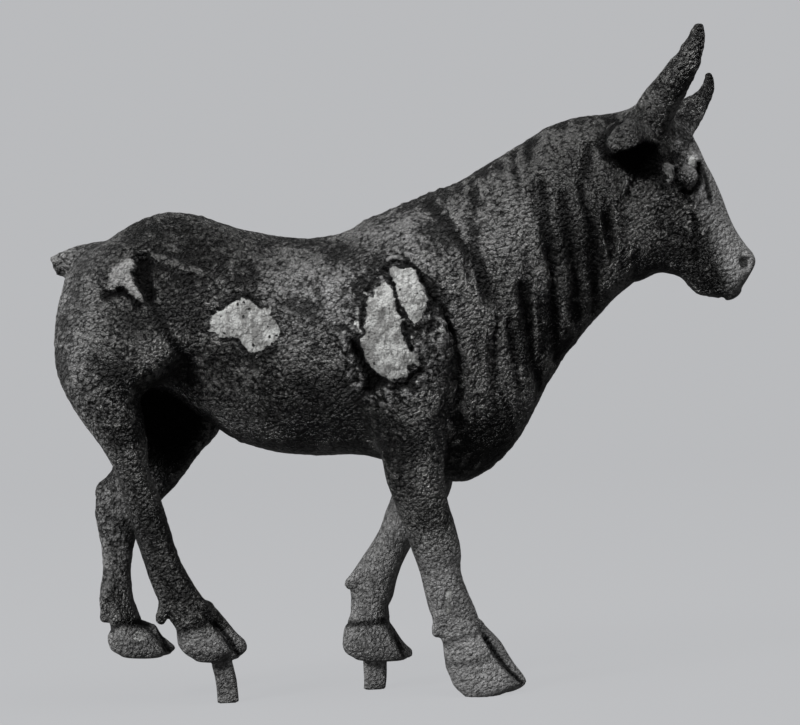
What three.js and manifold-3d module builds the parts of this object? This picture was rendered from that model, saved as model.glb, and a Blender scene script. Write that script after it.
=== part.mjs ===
// A small cast-bronze bull, walking, with a casting tang under the right hind and the left fore hoof.
//
// The bull faces +X, its right side faces -Y, and +Z is up. It stands on the ends of its two tangs
// and on the sole of its right fore hoof. The origin is under the middle of its box, on the ground.
// All sizes are millimetres. The whole animal is one casting, so it is one solid.
//
// The body is described as a modeller would build it up: ovals stacked along the trunk, the legs and
// the head, and tapered rolls for horns, ears and tail. Each form is a distance function, the forms
// are melted together, and the zero surface is meshed and then thinned to a few thousand faces.

import * as THREE from "three";
import Module from "manifold-3d";

// Driving dimensions.
const BODY_SIZE = 1.0; // scale of every section below, which are for a bull 212 long
const GROUND_SLOPE = 0.0414; // rise of the ground per unit of length, in the frame of the sections
const GROUND_HEIGHT = 2.56; // height of that ground under x = 0
const MESH_CELL = 1.25; // step of the grid that finds the surface
const FACE_BUDGET = 8800; // faces kept after thinning
const FOOT_EXCESS = 3; // how far feet run past the ground before they are cut flat

// How softly one form melts into another.
const MELT = {
  leg: 5.5,
  head: 8,
  tail: 3.5,
  horn: 2.6,
  ear: 2,
  brow: 1.6,
  nostril: 1.2,
  claw: 0.7,
  toe: 2.2,
  dewclaw: 1.4,
  tang: 0.6,
};

// Sections of the trunk, front to back along X.
// [x, underside, top of back, side, half width, keel]; keel narrows the underside and widens the top.
const TRUNK = [
  [-88.5, 95, 138, 0, 13.5, 0],
  [-79.5, 95, 143.8, 0, 18, 0],
  [-70.5, 93.5, 146.8, 0, 20.5, 0],
  [-60, 86, 145.8, 0, 22, 0],
  [-48, 78.2, 142, 0, 23.5, 0],
  [-34.5, 74.7, 139.5, 0, 25, 0],
  [-24, 74.2, 139.5, 0, 25.5, 0],
  [-15, 74.2, 141.6, 0, 25.5, 0],
  [-9.5, 73.6, 145.2, 0, 25, 0.03],
  [-4.5, 72.5, 147.1, 0, 24.5, 0.05],
  [7.5, 69, 152.4, 0, 23, 0.1],
  [18, 66, 156.4, 0, 21, 0.15],
  [27, 70, 162, 0, 19, 0.2],
  [36, 79.6, 167.2, 0, 17.5, 0.22],
  [45, 96.8, 172.8, 0, 16, 0.22],
  [54, 109.6, 175.6, 0, 15, 0.2],
  [63, 119.8, 176.2, 0, 14, 0.15],
  [70.5, 126, 176.4, 0, 12.5, 0.1],
];

// Sections of each leg from the top down: [height, rear edge, front edge, side, half width].
const LEGS = {
  rightHind: [
    [134, -91.5, -64, -10.5, 9.5], [129, -97.5, -58.5, -12, 11.8], [123, -99.5, -55.5, -13, 12.5],
    [114.5, -101.2, -56.5, -14, 13], [105.5, -101.4, -60, -15, 13], [98, -100.4, -68, -15.5, 12.5],
    [92.5, -98, -75.5, -16, 11.5], [85, -93.4, -75, -15.5, 9.5], [77.5, -88, -74.3, -14.5, 8],
    [70, -84, -73.9, -13, 6.5], [61.5, -81.5, -70.7, -11.5, 5.5], [52.5, -79, -67.9, -9.5, 5.5],
    [43, -76, -65, -8, 5], [39.5, -75, -63.3, -7.2, 5.2], [32.4, -72.5, -59, -5.8, 5.5],
    [28.8, -71, -56.2, -5, 5.8], [25, -68.5, -55, -4, 5.6],
  ],
  leftHind: [
    [134, -92, -65, 10.5, 9.5], [129, -98.5, -59.5, 12, 11.8], [123, -100.5, -57.5, 13, 12.5],
    [115, -102.6, -56.5, 14, 13], [105.5, -102.8, -55.5, 15, 13], [96.5, -102.2, -55, 15.5, 12.5],
    [89, -98.8, -54.7, 15.5, 11.5], [81, -93.4, -55.5, 15, 10], [74.5, -88.6, -60.9, 14, 8.5],
    [69, -88.2, -64.9, 13, 7], [64, -92.8, -68.9, 12.5, 6], [60, -92.8, -72.6, 11.5, 5.5],
    [55.5, -92.9, -77.2, 11, 5], [51, -91.9, -79.6, 10, 5], [45.5, -90.7, -81, 9.5, 4.5],
    [39, -90.3, -81.7, 9, 4.5], [32, -90.9, -81.2, 8, 4.8], [28, -90.6, -80.3, 7.5, 4.8],
    [24.5, -88, -78.8, 7, 4.8],
  ],
  rightFore: [
    [138, -0.5, 14.5, -12.5, 5], [132, -5.5, 16.5, -15, 6.8], [123, -9.5, 16.5, -17, 8],
    [111.5, -11.5, 15.5, -18, 8.5], [99.5, -12.5, 14, -18.5, 8.5], [91, -11, 13.5, -17.5, 8.5],
    [82, -8, 13, -17, 8.5], [74.5, -5.5, 13, -15.5, 8], [67.5, -4, 13, -14.5, 7.5], [61.5, -2, 14, -13, 7],
    [54, 0.8, 16.3, -12, 6.5], [47, 3.2, 17.8, -11, 6.5], [40, 5.7, 18.1, -10, 5.5],
    [32.8, 7.5, 20.6, -9.5, 5.5], [29.2, 8.4, 22.2, -9, 5.5], [25.7, 9.8, 23.4, -8.5, 5.5],
    [21, 12.5, 25.5, -8.5, 5.8],
  ],
  leftFore: [
    [121, -6, 17, 17, 7], [105.5, -8.5, 15.5, 18, 8.5], [90.5, -7.5, 15.5, 17.5, 8.5],
    [78, -3.5, 16, 16.5, 8], [69, -2, 16.5, 15.5, 8], [61.5, -2.5, 15, 15, 7], [56, -4.5, 11.5, 14.5, 6.5],
    [51.5, -6, 8, 14, 6.5], [46.5, -8.8, 4, 14, 6], [41, -12.5, 1, 13.5, 5.5],
    [37.8, -14.4, -0.3, 13, 5.5], [34, -15.3, -1.3, 13, 5.5], [30.5, -15, -2.1, 13, 5.3],
    [26.8, -15, -3.7, 13, 5], [24, -14.5, -3.4, 13, 5.2],
  ],
};

// Each hoof is two claws cut from one outline: [height, heel, toe, side, half width of the pair].
// The inner claw of a right foot, and the outer one of a left foot, is set forward by the splay.
const HOOVES = {
  rightHind: { splay: 1.85, rows: [
    [29, -67.5, -57.5, -4, 5.4], [24.5, -65.4, -53.8, -4, 6.5], [21, -64.6, -51, -3.5, 7],
    [18, -64, -48.1, -3.5, 7.4], [15.5, -62.2, -48, -3.5, 7.2], [13.7, -59.5, -50, -3.5, 6.4]] },
  leftHind: { splay: 0.8, rows: [
    [27, -86.6, -81.2, 7, 4.6], [24, -86.2, -79.6, 7, 5.4], [22.6, -86.6, -76.2, 7, 6.1],
    [20, -87.2, -73.6, 6.5, 6.9], [17.3, -87, -71.3, 6.5, 7.3], [15, -85.8, -69.2, 6.5, 7.3],
    [13.7, -83.6, -70.4, 6.5, 6.7]] },
  rightFore: { splay: 1.8, rows: [
    [23.8, 12.6, 23.4, -8.5, 5.8], [21, 13.8, 26.2, -8.2, 6.8], [18.5, 14.4, 28.4, -8, 7.5],
    [15.8, 14.7, 30, -8, 7.8], [12.2, 15.2, 32.3, -8, 8], [8.9, 16.6, 34.8, -8, 8.2],
    [6.6, 17.6, 35.8, -8, 8.1], [5, 19, 34.2, -8, 7.8], [3.6, 20.6, 31, -8, 7.4], [-2, 22, 29, -8, 7]] },
  leftFore: { splay: 0.8, rows: [
    [26, -13.4, -4.6, 13, 5], [22.6, -15.6, -4, 13, 6.4], [20.5, -16.2, -2.6, 13, 7],
    [17.7, -16.6, -0.8, 13, 7.5], [15.6, -16.6, 0.8, 13, 7.7], [13.4, -15.4, 3, 13, 7.5],
    [12, -13, 2.9, 13, 6.8]] },
};
const CLAW_SPREAD = 0.44; // distance of a claw's middle from the hoof's, as a share of the half width
const CLAW_WIDTH = 0.56; // half width of a claw, in the same share

// Pairs of dewclaws behind the fetlocks: where they leave the leg, and where they end.
const DEWCLAWS = {
  rightHind: { from: [-69.5, -5.5, 31], to: [-70.9, -5, 25.7], apart: 3 },
  leftHind: { from: [-88, 8, 31], to: [-89.2, 8, 24.8], apart: 2.6 },
  rightFore: { from: [12, -9.5, 27], to: [11, -9.5, 22.4], apart: 3 },
  leftFore: { from: [-12.5, 13, 37], to: [-15.2, 13, 34.4], apart: 2.6 },
};
const DEWCLAW_RADIUS = 2;

// Casting tangs: bars of a rounded oblong section, cut off at the ground.
const TANGS = {
  rightHind: [
    [18, -57.6, -51.4, -3.5, 2.6], [12, -56.2, -50, -3.5, 2.6], [7, -55, -48.8, -3.5, 2.6],
    [1, -54.4, -48.2, -3.5, 2.6], [-4, -54, -47.8, -3.5, 2.6]],
  leftFore: [
    [17, -11.2, -4, 13, 2.6], [10, -11.2, -4, 13, 2.6], [5, -11, -4.1, 13, 2.6], [1, -11.1, -4.7, 13, 2.6],
    [-4, -11.1, -5, 13, 2.6]],
};
const TANG_SQUARENESS = 4;

// Head: ovals stacked from the poll to the muzzle.
// [distance from the poll, throat side, brow side, side, half width]
const POLL = new THREE.Vector3(76.5, 0, 165.6);
const FACE_DIRECTION = new THREE.Vector3(0.571, 0, -0.821);
const HEAD = [
  [-5.5, -15, 9.5, 0, 10], [0, -18.5, 11.4, 0, 11.5], [5.5, -20.5, 11.3, 0, 12.4], [12, -22, 10.2, 0, 12.3],
  [17, -22.3, 9.6, 0, 11.6], [23, -22.3, 8.4, 0, 10.4], [28, -21.8, 7.1, 0, 9.4], [32, -18.8, 6.3, 0, 8.6],
  [36, -15.6, 6, 0, 7.9], [39.5, -15, 6.1, 0, 7.8], [42.6, -14.2, 6.3, 0, 8], [45.2, -12, 5, 0, 7.8],
  [47.4, -9.8, 0.8, 0, 7], [48.8, -8.6, -2.6, 0, 5.6],
];

// Tapered rolls: points [x, y, z, radius] along each.
const RIGHT_HORN = [
  [73.5, -4.5, 168, 6.8], [74.6, -7.5, 173, 6.4], [76.3, -11, 178, 5.6], [79.2, -15, 182.4, 5],
  [81.8, -17.5, 186.5, 4.5], [84, -19, 190.1, 3.8], [85.4, -19.6, 193.3, 3.2], [86.6, -20, 196.5, 2.5],
  [87.2, -20, 199.2, 1.8],
];
const LEFT_HORN = [
  [80.5, 2.5, 169.5, 6.2], [84, 5.5, 174, 5.5], [87.5, 9.5, 177.6, 4.6], [90.9, 13, 180.8, 3.4],
  [93.6, 15.5, 184.1, 2.5], [94.9, 17, 187.4, 1.9], [94.9, 17.5, 189.8, 1.3],
];
const EAR = [
  [75, 8, 166, 3.6], [69.6, 13, 167.3, 5.2], [65.8, 18.5, 166.7, 6.2], [64.4, 23, 165, 5],
  [63.8, 26, 163.4, 3],
];
const EAR_HOLLOW = [
  [76.5, 12, 162, 3], [72.5, 15, 161.4, 4.8], [68, 20.5, 160.6, 5.6], [65, 26, 159, 4.6], [64, 30, 158, 3.2],
];
const TAIL = [[-84, 0, 129, 6.5], [-93.5, 0, 132, 5], [-99, 0, 132, 3.8], [-103.4, 0, 130.6, 2.9]];
const TAIL_BREAK = { at: [-103.6, 0, 130], facing: [-0.9, 0, -0.35] };

// Small forms of the face, each on both sides: the place is [x, half spacing, z].
const EYE = { at: [85.1, 10.4, 156.7], radius: 3, lidRadius: 4, lidGroove: 0.5, lidWidth: 0.8 };
const BROW = { at: [87, 8.4, 161.2], radius: 2.6 };
const NOSTRIL = { at: [102.4, 5.4, 131.2], radius: 1.9 };
const MOUTH = { from: [97, 121.2], to: [90.5, 131.5], width: 0.9, depth: 0.8 };

// Folds of the neck: grooves that run through [x, z] points down both sides.
const NECK_FOLDS = [
  { through: [[9, 149], [15.6, 140], [21, 132], [25.5, 120.5]], width: 2.1, depth: 1.3 },
  {
    through: [[41, 154.5], [42.6, 146], [42.8, 138.5], [44.5, 129.5], [45.3, 120.5], [46.4, 103.5]],
    width: 1.9,
    depth: 1.5,
  },
  { through: [[48, 150.5], [49.3, 140], [51.4, 128], [52.8, 116]], width: 2.2, depth: 1.7 },
  {
    through: [[55.6, 165.6], [53.2, 153], [55.9, 141.6], [57.7, 129.6], [57.8, 117.6]],
    width: 2,
    depth: 1.8,
  },
  { through: [[60.7, 144.6], [62.8, 133.5]], width: 1.6, depth: 0.8 },
  { through: [[34.8, 123.6], [37.3, 116], [39.7, 100.5], [41.8, 94.5]], width: 1.9, depth: 1.4 },
  { through: [[32, 113], [33.7, 102], [35, 94.5]], width: 1.8, depth: 1 },
  { through: [[29, 124.5], [27.6, 99.6], [31.5, 87.6]], width: 1.8, depth: 0.8 },
];
const SHOULDER_EDGE = {
  through: [[8.2, 125], [11.2, 118.5], [15.2, 111], [17, 100], [16.5, 84]],
  width: 2.4,
  depth: 1.2,
};
const THIGH_EDGE = {
  through: [[-80, 131], [-76.5, 121], [-70, 111], [-63, 101], [-59, 95]],
  width: 3.4,
  depth: 1.1,
};
const GROOVE_INSET = 3.5; // grooves fade out this close to the middle plane
const FAR = 1e3;

const clamp = THREE.MathUtils.clamp;

// Union of two forms with a fillet of about the given size between them.
function melt(a, b, size) {
  const overlap = Math.max(size - Math.abs(a - b), 0) / size;
  return Math.min(a, b) - overlap * overlap * size * 0.25;
}

// A form with another taken out of it, and the rim rounded.
function hollow(form, cavity, size) {
  return -melt(-form, cavity, size);
}

// Ovals stacked along a straight direction in the XZ plane. Each row is
// [along, low, high, side, half width, keel]; low and high are measured across the direction.
function ovalStack(rows, { from = new THREE.Vector3(), along, across, squareness = 2, caps = [6, 6] }) {
  const sorted = [...rows].sort((a, b) => a[0] - b[0]);
  const places = sorted.map((row) => row[0]);
  const sizes = sorted.flatMap(([, low, high, side, width, keel = 0]) => [low, high, side, width, keel]);
  const section = new THREE.CubicInterpolant(places, sizes, 5, new Float32Array(5));
  const first = places[0];
  const last = places.at(-1);
  return (x, y, z) => {
    const dx = x - from.x;
    const dz = z - from.z;
    const s = dx * along.x + dz * along.z;
    const inside = clamp(s, first, last);
    const [low, high, side, width, keel] = section.evaluate(inside);
    const half = (high - low) / 2;
    const n = dx * across.x + dz * across.z - (high + low) / 2;
    const t = y - side;
    const halfWidth = width * (1 + keel * clamp(n / half, -1, 1));
    const past = s - inside;
    const cap = past < 0 ? caps[0] : caps[1];
    const roundness = Math.abs(n / half) ** squareness + Math.abs(t / halfWidth) ** squareness;
    const stretched = Math.hypot(roundness ** (1 / squareness), past / cap);
    const radial = Math.hypot(n, t, past);
    return stretched < 1e-6 ? -Math.min(half, halfWidth) : radial * (1 - 1 / stretched);
  };
}

const LENGTHWISE = { along: new THREE.Vector3(1, 0, 0), across: new THREE.Vector3(0, 0, 1) };
const UPRIGHT = { along: new THREE.Vector3(0, 0, 1), across: new THREE.Vector3(1, 0, 0) };
const FACEWISE = {
  from: POLL,
  along: FACE_DIRECTION,
  across: new THREE.Vector3(-FACE_DIRECTION.z, 0, FACE_DIRECTION.x),
};

// Points evenly numbered along a smooth line through the given ones; extra numbers run with them.
function smoothLine(points, steps) {
  const places = points.map((_, i) => i);
  const curve = new THREE.CubicInterpolant(places, points.flat(), points[0].length);
  return Array.from({ length: steps + 1 }, (_, i) => [...curve.evaluate((i / steps) * (points.length - 1))]);
}

// A round roll along a smooth line through [x, y, z, radius] points.
function roll(points, steps = 14) {
  const beads = smoothLine(points, steps);
  return (x, y, z) => {
    let nearest = FAR;
    for (let i = 0; i < steps; i++) {
      const [ax, ay, az, ra] = beads[i];
      const [bx, by, bz, rb] = beads[i + 1];
      const [ux, uy, uz] = [bx - ax, by - ay, bz - az];
      const along = (x - ax) * ux + (y - ay) * uy + (z - az) * uz;
      const t = clamp(along / (ux * ux + uy * uy + uz * uz), 0, 1);
      const gap = Math.hypot(x - ax - t * ux, y - ay - t * uy, z - az - t * uz);
      nearest = Math.min(nearest, gap - ra - t * (rb - ra));
    }
    return nearest;
  };
}

function ball([cx, cy, cz], radius) {
  return (x, y, z) => Math.hypot(x - cx, y - cy, z - cz) - radius;
}

// How deep a groove is at a point of the side view: a rounded furrow along a smooth line.
function furrow({ through, width, depth }) {
  const line = smoothLine(through, through.length * 4);
  return (x, z) => {
    let nearest = FAR;
    for (let i = 0; i < line.length - 1; i++) {
      const [ax, az] = line[i];
      const [ux, uz] = [line[i + 1][0] - ax, line[i + 1][1] - az];
      const t = clamp(((x - ax) * ux + (z - az) * uz) / (ux * ux + uz * uz), 0, 1);
      nearest = Math.min(nearest, Math.hypot(x - ax - t * ux, z - az - t * uz));
    }
    return depth * Math.exp(-((nearest / width) ** 2));
  };
}

// Rows of one claw of a hoof, on side -1 or 1.
function clawRows({ rows, splay }, side) {
  return rows.map(([z, heel, toe, y, width]) => [
    z,
    heel + side * splay,
    toe + side * splay,
    y + side * width * CLAW_SPREAD,
    width * CLAW_WIDTH,
  ]);
}

// One leg: its ovals, two claws, two dewclaws and, where there is one, the tang.
function leg(name) {
  const shank = ovalStack(LEGS[name], { ...UPRIGHT, caps: [2, 4] });
  const claws = [-1, 1].map((side) =>
    ovalStack(clawRows(HOOVES[name], side), { ...UPRIGHT, squareness: 2.4, caps: [1.1, 2] }),
  );
  const { from, to, apart } = DEWCLAWS[name];
  const dewclaws = [-1, 1].map((side) => {
    const start = [from[0], from[1] + side * apart, from[2], DEWCLAW_RADIUS];
    const end = [to[0], to[1] + side * apart, to[2], DEWCLAW_RADIUS * 0.8];
    return roll([start, end], 1);
  });
  const bar = { ...UPRIGHT, squareness: TANG_SQUARENESS, caps: [2, 2] };
  const tang = TANGS[name] && ovalStack(TANGS[name], bar);
  return (x, y, z) => {
    let form = shank(x, y, z);
    if (z > 45) return form;
    const hoof = melt(claws[0](x, y, z), claws[1](x, y, z), MELT.claw);
    form = melt(form, hoof, MELT.toe);
    for (const claw of dewclaws) form = melt(form, claw(x, y, z), MELT.dewclaw);
    return tang ? melt(form, tang(x, y, z), MELT.tang) : form;
  };
}

// The head with horns, ears, eyes, nostrils and mouth.
function head() {
  const skull = ovalStack(HEAD, { ...FACEWISE, caps: [6, 1.4] });
  const horns = [roll(RIGHT_HORN), roll(LEFT_HORN)];
  const mirrored = (points, side) => points.map(([x, y, z, r]) => [x, side * y, z, r]);
  const sides = [-1, 1].map((side) => ({
    ear: roll(mirrored(EAR, side)),
    earHollow: roll(mirrored(EAR_HOLLOW, side)),
    brow: ball([BROW.at[0], side * BROW.at[1], BROW.at[2]], BROW.radius),
    eyeAt: [EYE.at[0], side * EYE.at[1], EYE.at[2]],
    nostril: ball([NOSTRIL.at[0], side * NOSTRIL.at[1], NOSTRIL.at[2]], NOSTRIL.radius),
  }));
  const mouth = furrow({ through: [MOUTH.from, MOUTH.to], width: MOUTH.width, depth: MOUTH.depth });
  return (x, y, z) => {
    let form = skull(x, y, z) + mouth(x, z);
    for (const { brow, eyeAt } of sides) {
      form = melt(form, brow(x, y, z), MELT.brow);
      const reach = Math.hypot(x - eyeAt[0], y - eyeAt[1], z - eyeAt[2]);
      form += EYE.lidGroove * Math.exp(-(((reach - EYE.lidRadius) / EYE.lidWidth) ** 2));
      form = melt(form, reach - EYE.radius, MELT.claw);
    }
    for (const horn of horns) form = melt(form, horn(x, y, z), MELT.horn);
    for (const { ear, earHollow, nostril } of sides) {
      form = melt(form, hollow(ear(x, y, z), earHollow(x, y, z), MELT.claw), MELT.ear);
      form = hollow(form, nostril(x, y, z), MELT.nostril);
    }
    return form;
  };
}

// The whole bull as one distance function.
function bull() {
  const trunk = ovalStack(TRUNK, { ...LENGTHWISE, caps: [13, 9] });
  const front = head();
  const tail = roll(TAIL);
  const [bx, by, bz] = TAIL_BREAK.at;
  const [fx, fy, fz] = TAIL_BREAK.facing;
  const legs = Object.keys(LEGS).map(leg);
  const grooves = [...NECK_FOLDS, SHOULDER_EDGE, THIGH_EDGE].map(furrow);
  return (x, y, z) => {
    const broken = (x - bx) * fx + (y - by) * fy + (z - bz) * fz;
    let body = melt(trunk(x, y, z), Math.max(tail(x, y, z), broken), MELT.tail);
    if (x > 40) body = melt(body, front(x, y, z), MELT.head);
    let form = body;
    for (const one of legs) form = Math.min(form, melt(body, one(x, y, z), MELT.leg));
    if (Math.abs(form) > 2 * MESH_CELL + 2) return form;
    const fade = clamp(Math.abs(y) / GROOVE_INSET - 0.4, 0, 1);
    if (z > 82 && x < 66) for (const groove of grooves) form += fade * groove(x, z);
    return form;
  };
}

// Where two inside corners of a grid face touch only across its diagonal the surface would pinch:
// the nearer of the two outside corners is moved inside. The same goes for a lone body diagonal.
function fillPinches(values, [nx, ny, nz]) {
  const steps = [1, nx, nx * ny];
  const offsets = Array.from({ length: 8 }, (_, m) => (m & 1) + ((m >> 1) & 1) * nx + (m >> 2) * nx * ny);
  const inside = (n) => values[n] < 0;
  for (let changed = true; changed; ) {
    changed = false;
    for (let n = 0; n < nx * ny * (nz - 1) - nx - 1; n++) {
      for (const [u, v] of [[0, 1], [1, 2], [2, 0]]) {
        const [a, b, c, d] = [n, n + steps[u], n + steps[u] + steps[v], n + steps[v]];
        if (inside(a) !== inside(c) || inside(b) !== inside(d) || inside(a) === inside(b)) continue;
        const [p, q] = inside(a) ? [b, d] : [a, c];
        values[values[p] < values[q] ? p : q] = -1e-3;
        changed = true;
      }
      const cell = offsets.map((offset) => n + offset);
      const within = cell.filter(inside).length;
      if (within !== 2 && within !== 6) continue;
      const odd = cell.findIndex((m) => inside(m) === (within === 2));
      if (inside(cell[7 - odd]) !== (within === 2)) continue;
      values[within === 2 ? cell[odd ^ 1] : cell[odd]] = -1e-3;
      changed = true;
    }
  }
}

// Surface of a distance function on a regular grid: one vertex for each cell that the surface
// crosses, at the mean of its edge crossings, and one quad for each grid edge that it crosses.
function surfaceOf(form, box, cell) {
  const size = box.getSize(new THREE.Vector3()).divideScalar(cell).ceil();
  const [nx, ny, nz] = [size.x + 1, size.y + 1, size.z + 1];
  const at = (i, j, k) => (k * ny + j) * nx + i;
  const values = new Float32Array(nx * ny * nz);
  for (let k = 0; k < nz; k++)
    for (let j = 0; j < ny; j++)
      for (let i = 0; i < nx; i++)
        values[at(i, j, k)] = form(box.min.x + i * cell, box.min.y + j * cell, box.min.z + k * cell);
  fillPinches(values, [nx, ny, nz]);
  const corners = Array.from({ length: 8 }, (_, n) => [n & 1, (n >> 1) & 1, n >> 2]);
  const edges = [];
  for (let a = 0; a < 8; a++) for (const bit of [1, 2, 4]) if (!(a & bit)) edges.push([a, a | bit]);
  const positions = [];
  const vertexOf = new Int32Array(values.length).fill(-1);
  for (let k = 0; k < nz - 1; k++)
    for (let j = 0; j < ny - 1; j++)
      for (let i = 0; i < nx - 1; i++) {
        const v = corners.map(([a, b, c]) => values[at(i + a, j + b, k + c)]);
        const mean = [0, 0, 0];
        let count = 0;
        for (const [a, b] of edges) {
          if (v[a] < 0 === v[b] < 0) continue;
          const t = v[a] / (v[a] - v[b]);
          for (let d = 0; d < 3; d++) mean[d] += corners[a][d] + t * (corners[b][d] - corners[a][d]);
          count++;
        }
        if (!count) continue;
        vertexOf[at(i, j, k)] = positions.length / 3;
        const [mx, my, mz] = mean.map((m) => m / count);
        positions.push(box.min.x + (i + mx) * cell, box.min.y + (j + my) * cell, box.min.z + (k + mz) * cell);
      }
  const faces = [];
  const around = [
    { step: [1, 0, 0], ring: [[0, -1, -1], [0, 0, -1], [0, 0, 0], [0, -1, 0]] },
    { step: [0, 1, 0], ring: [[-1, 0, -1], [-1, 0, 0], [0, 0, 0], [0, 0, -1]] },
    { step: [0, 0, 1], ring: [[-1, -1, 0], [0, -1, 0], [0, 0, 0], [-1, 0, 0]] },
  ];
  for (let k = 1; k < nz - 1; k++)
    for (let j = 1; j < ny - 1; j++)
      for (let i = 1; i < nx - 1; i++)
        for (const { step, ring } of around) {
          const here = values[at(i, j, k)] < 0;
          if (here === values[at(i + step[0], j + step[1], k + step[2])] < 0) continue;
          const quad = ring.map(([a, b, c]) => vertexOf[at(i + a, j + b, k + c)]);
          if (!here) quad.reverse();
          faces.push([quad[0], quad[1], quad[2]], [quad[0], quad[2], quad[3]]);
        }
  return { positions: new Float64Array(positions), faces };
}

// Thins a closed mesh to a number of faces. The edge whose removal moves the surface least goes
// first; the error of a place is the sum of its squared distances to the planes of its faces.
function thinned({ positions, faces }, budget) {
  const count = positions.length / 3;
  const point = (v) => new THREE.Vector3().fromArray(positions, 3 * v);
  const alive = faces.map(() => true);
  const touching = Array.from({ length: count }, () => new Set());
  const planes = Array.from({ length: count }, () => new Float64Array(10));
  const stamp = new Int32Array(count);
  const normalOf = (a, b, c) => b.clone().sub(a).cross(c.clone().sub(a));
  faces.forEach((face, f) => {
    const [a, b, c] = face.map(point);
    const normal = normalOf(a, b, c);
    const area = normal.length() || 1e-12;
    normal.divideScalar(area);
    const q = [normal.x, normal.y, normal.z, -normal.dot(a)];
    for (const v of face) {
      touching[v].add(f);
      for (let i = 0, n = 0; i < 4; i++) for (let j = i; j < 4; j++) planes[v][n++] += area * q[i] * q[j];
    }
  });
  const errorAt = (q, { x, y, z }) => {
    const alongX = x * (q[0] * x + 2 * (q[1] * y + q[2] * z + q[3]));
    const alongY = y * (q[4] * y + 2 * (q[5] * z + q[6]));
    return alongX + alongY + z * (q[7] * z + 2 * q[8]) + q[9];
  };
  // The best of the two ends, their middle, and the place where the error is least.
  const bestPlace = (a, b) => {
    const q = planes[a].map((value, i) => value + planes[b][i]);
    const pa = point(a);
    const pb = point(b);
    const choices = [pa, pb, pa.clone().lerp(pb, 0.5)];
    const matrix = new THREE.Matrix3().set(q[0], q[1], q[2], q[1], q[4], q[5], q[2], q[5], q[7]);
    const trace = q[0] + q[4] + q[7];
    if (Math.abs(matrix.determinant()) > 1e-3 * trace ** 3) {
      const least = new THREE.Vector3(-q[3], -q[6], -q[8]).applyMatrix3(matrix.invert());
      if (least.distanceTo(choices[2]) < 2 * pa.distanceTo(pb)) choices.push(least);
    }
    let place = choices[0];
    for (const choice of choices) if (errorAt(q, choice) < errorAt(q, place)) place = choice;
    return { q, place, cost: errorAt(q, place) + 1e-3 * pa.distanceToSquared(pb) };
  };
  const heap = [];
  const lighter = (i, j) => heap[i].cost < heap[j].cost;
  const swap = (i, j) => ([heap[i], heap[j]] = [heap[j], heap[i]]);
  const push = (entry) => {
    heap.push(entry);
    for (let i = heap.length - 1, up; i && lighter(i, (up = (i - 1) >> 1)); i = up) swap(i, up);
  };
  const pop = () => {
    swap(0, heap.length - 1);
    const top = heap.pop();
    for (let i = 0, down; (down = 2 * i + 1) < heap.length; i = down) {
      if (down + 1 < heap.length && lighter(down + 1, down)) down++;
      if (!lighter(down, i)) break;
      swap(i, down);
    }
    return top;
  };
  const offer = (a, b) => push({ a, b, at: stamp[a] + stamp[b], ...bestPlace(a, b) });
  const ringOf = (v) => new Set([...touching[v]].flatMap((f) => faces[f]));
  faces.forEach(([a, b, c]) => [[a, b], [b, c], [c, a]].forEach(([p, q]) => p < q && offer(p, q)));
  // Faces of v that would turn over, or go thin, if v moved to a place.
  const spoils = (v, other, place) =>
    [...touching[v]].some((f) => {
      if (faces[f].includes(other)) return false;
      const before = faces[f].map(point);
      const after = faces[f].map((u) => (u === v ? place : point(u)));
      const [n0, n1] = [normalOf(...before), normalOf(...after)];
      const longest = Math.max(...after.map((p, i) => p.distanceToSquared(after[(i + 1) % 3])));
      return n0.dot(n1) < 0.3 * n0.length() * n1.length() || n1.length() < 0.08 * longest;
    });
  let left = faces.length;
  while (left > budget && heap.length) {
    const { a, b, at, q, place } = pop();
    if (!touching[a].size || !touching[b].size || stamp[a] + stamp[b] !== at) continue;
    const shared = [...ringOf(a)].filter((v) => ringOf(b).has(v) && v !== a && v !== b);
    if (shared.length !== 2 || spoils(a, b, place) || spoils(b, a, place)) continue;
    positions.set([place.x, place.y, place.z], 3 * a);
    planes[a] = q;
    for (const f of touching[b]) {
      if (faces[f].includes(a)) {
        alive[f] = false;
        left--;
        for (const v of faces[f]) if (v !== b) touching[v].delete(f);
      } else {
        faces[f][faces[f].indexOf(b)] = a;
        touching[a].add(f);
      }
    }
    touching[b].clear();
    const ring = [...ringOf(a)].filter((v) => v !== a);
    stamp[a]++;
    for (const v of ring) offer(a, v);
  }
  return { positions, faces: faces.filter((_, f) => alive[f]) };
}

// Corner positions and triangles as a manifold solid.
function manifoldOf(wasm, positions, triangles) {
  const vertProperties = new Float32Array(positions);
  const triVerts = new Uint32Array(triangles);
  return new wasm.Manifold(new wasm.Mesh({ numProp: 3, vertProperties, triVerts }));
}

// A thinned mesh as a solid, moved by a matrix, with unused vertices left behind.
function solidFrom(wasm, { positions, faces }, matrix) {
  const renumbered = new Map();
  const kept = [];
  const triangles = faces.flat().map((v) => {
    if (!renumbered.has(v)) {
      renumbered.set(v, renumbered.size);
      kept.push(...new THREE.Vector3().fromArray(positions, 3 * v).applyMatrix4(matrix).toArray());
    }
    return renumbered.get(v);
  });
  return manifoldOf(wasm, kept, triangles);
}

function geometryFrom(solid) {
  const { vertProperties, triVerts } = solid.getMesh();
  const geometry = new THREE.BufferGeometry();
  geometry.setAttribute("position", new THREE.BufferAttribute(vertProperties, 3));
  geometry.setIndex(new THREE.BufferAttribute(triVerts, 1));
  return geometry;
}

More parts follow.
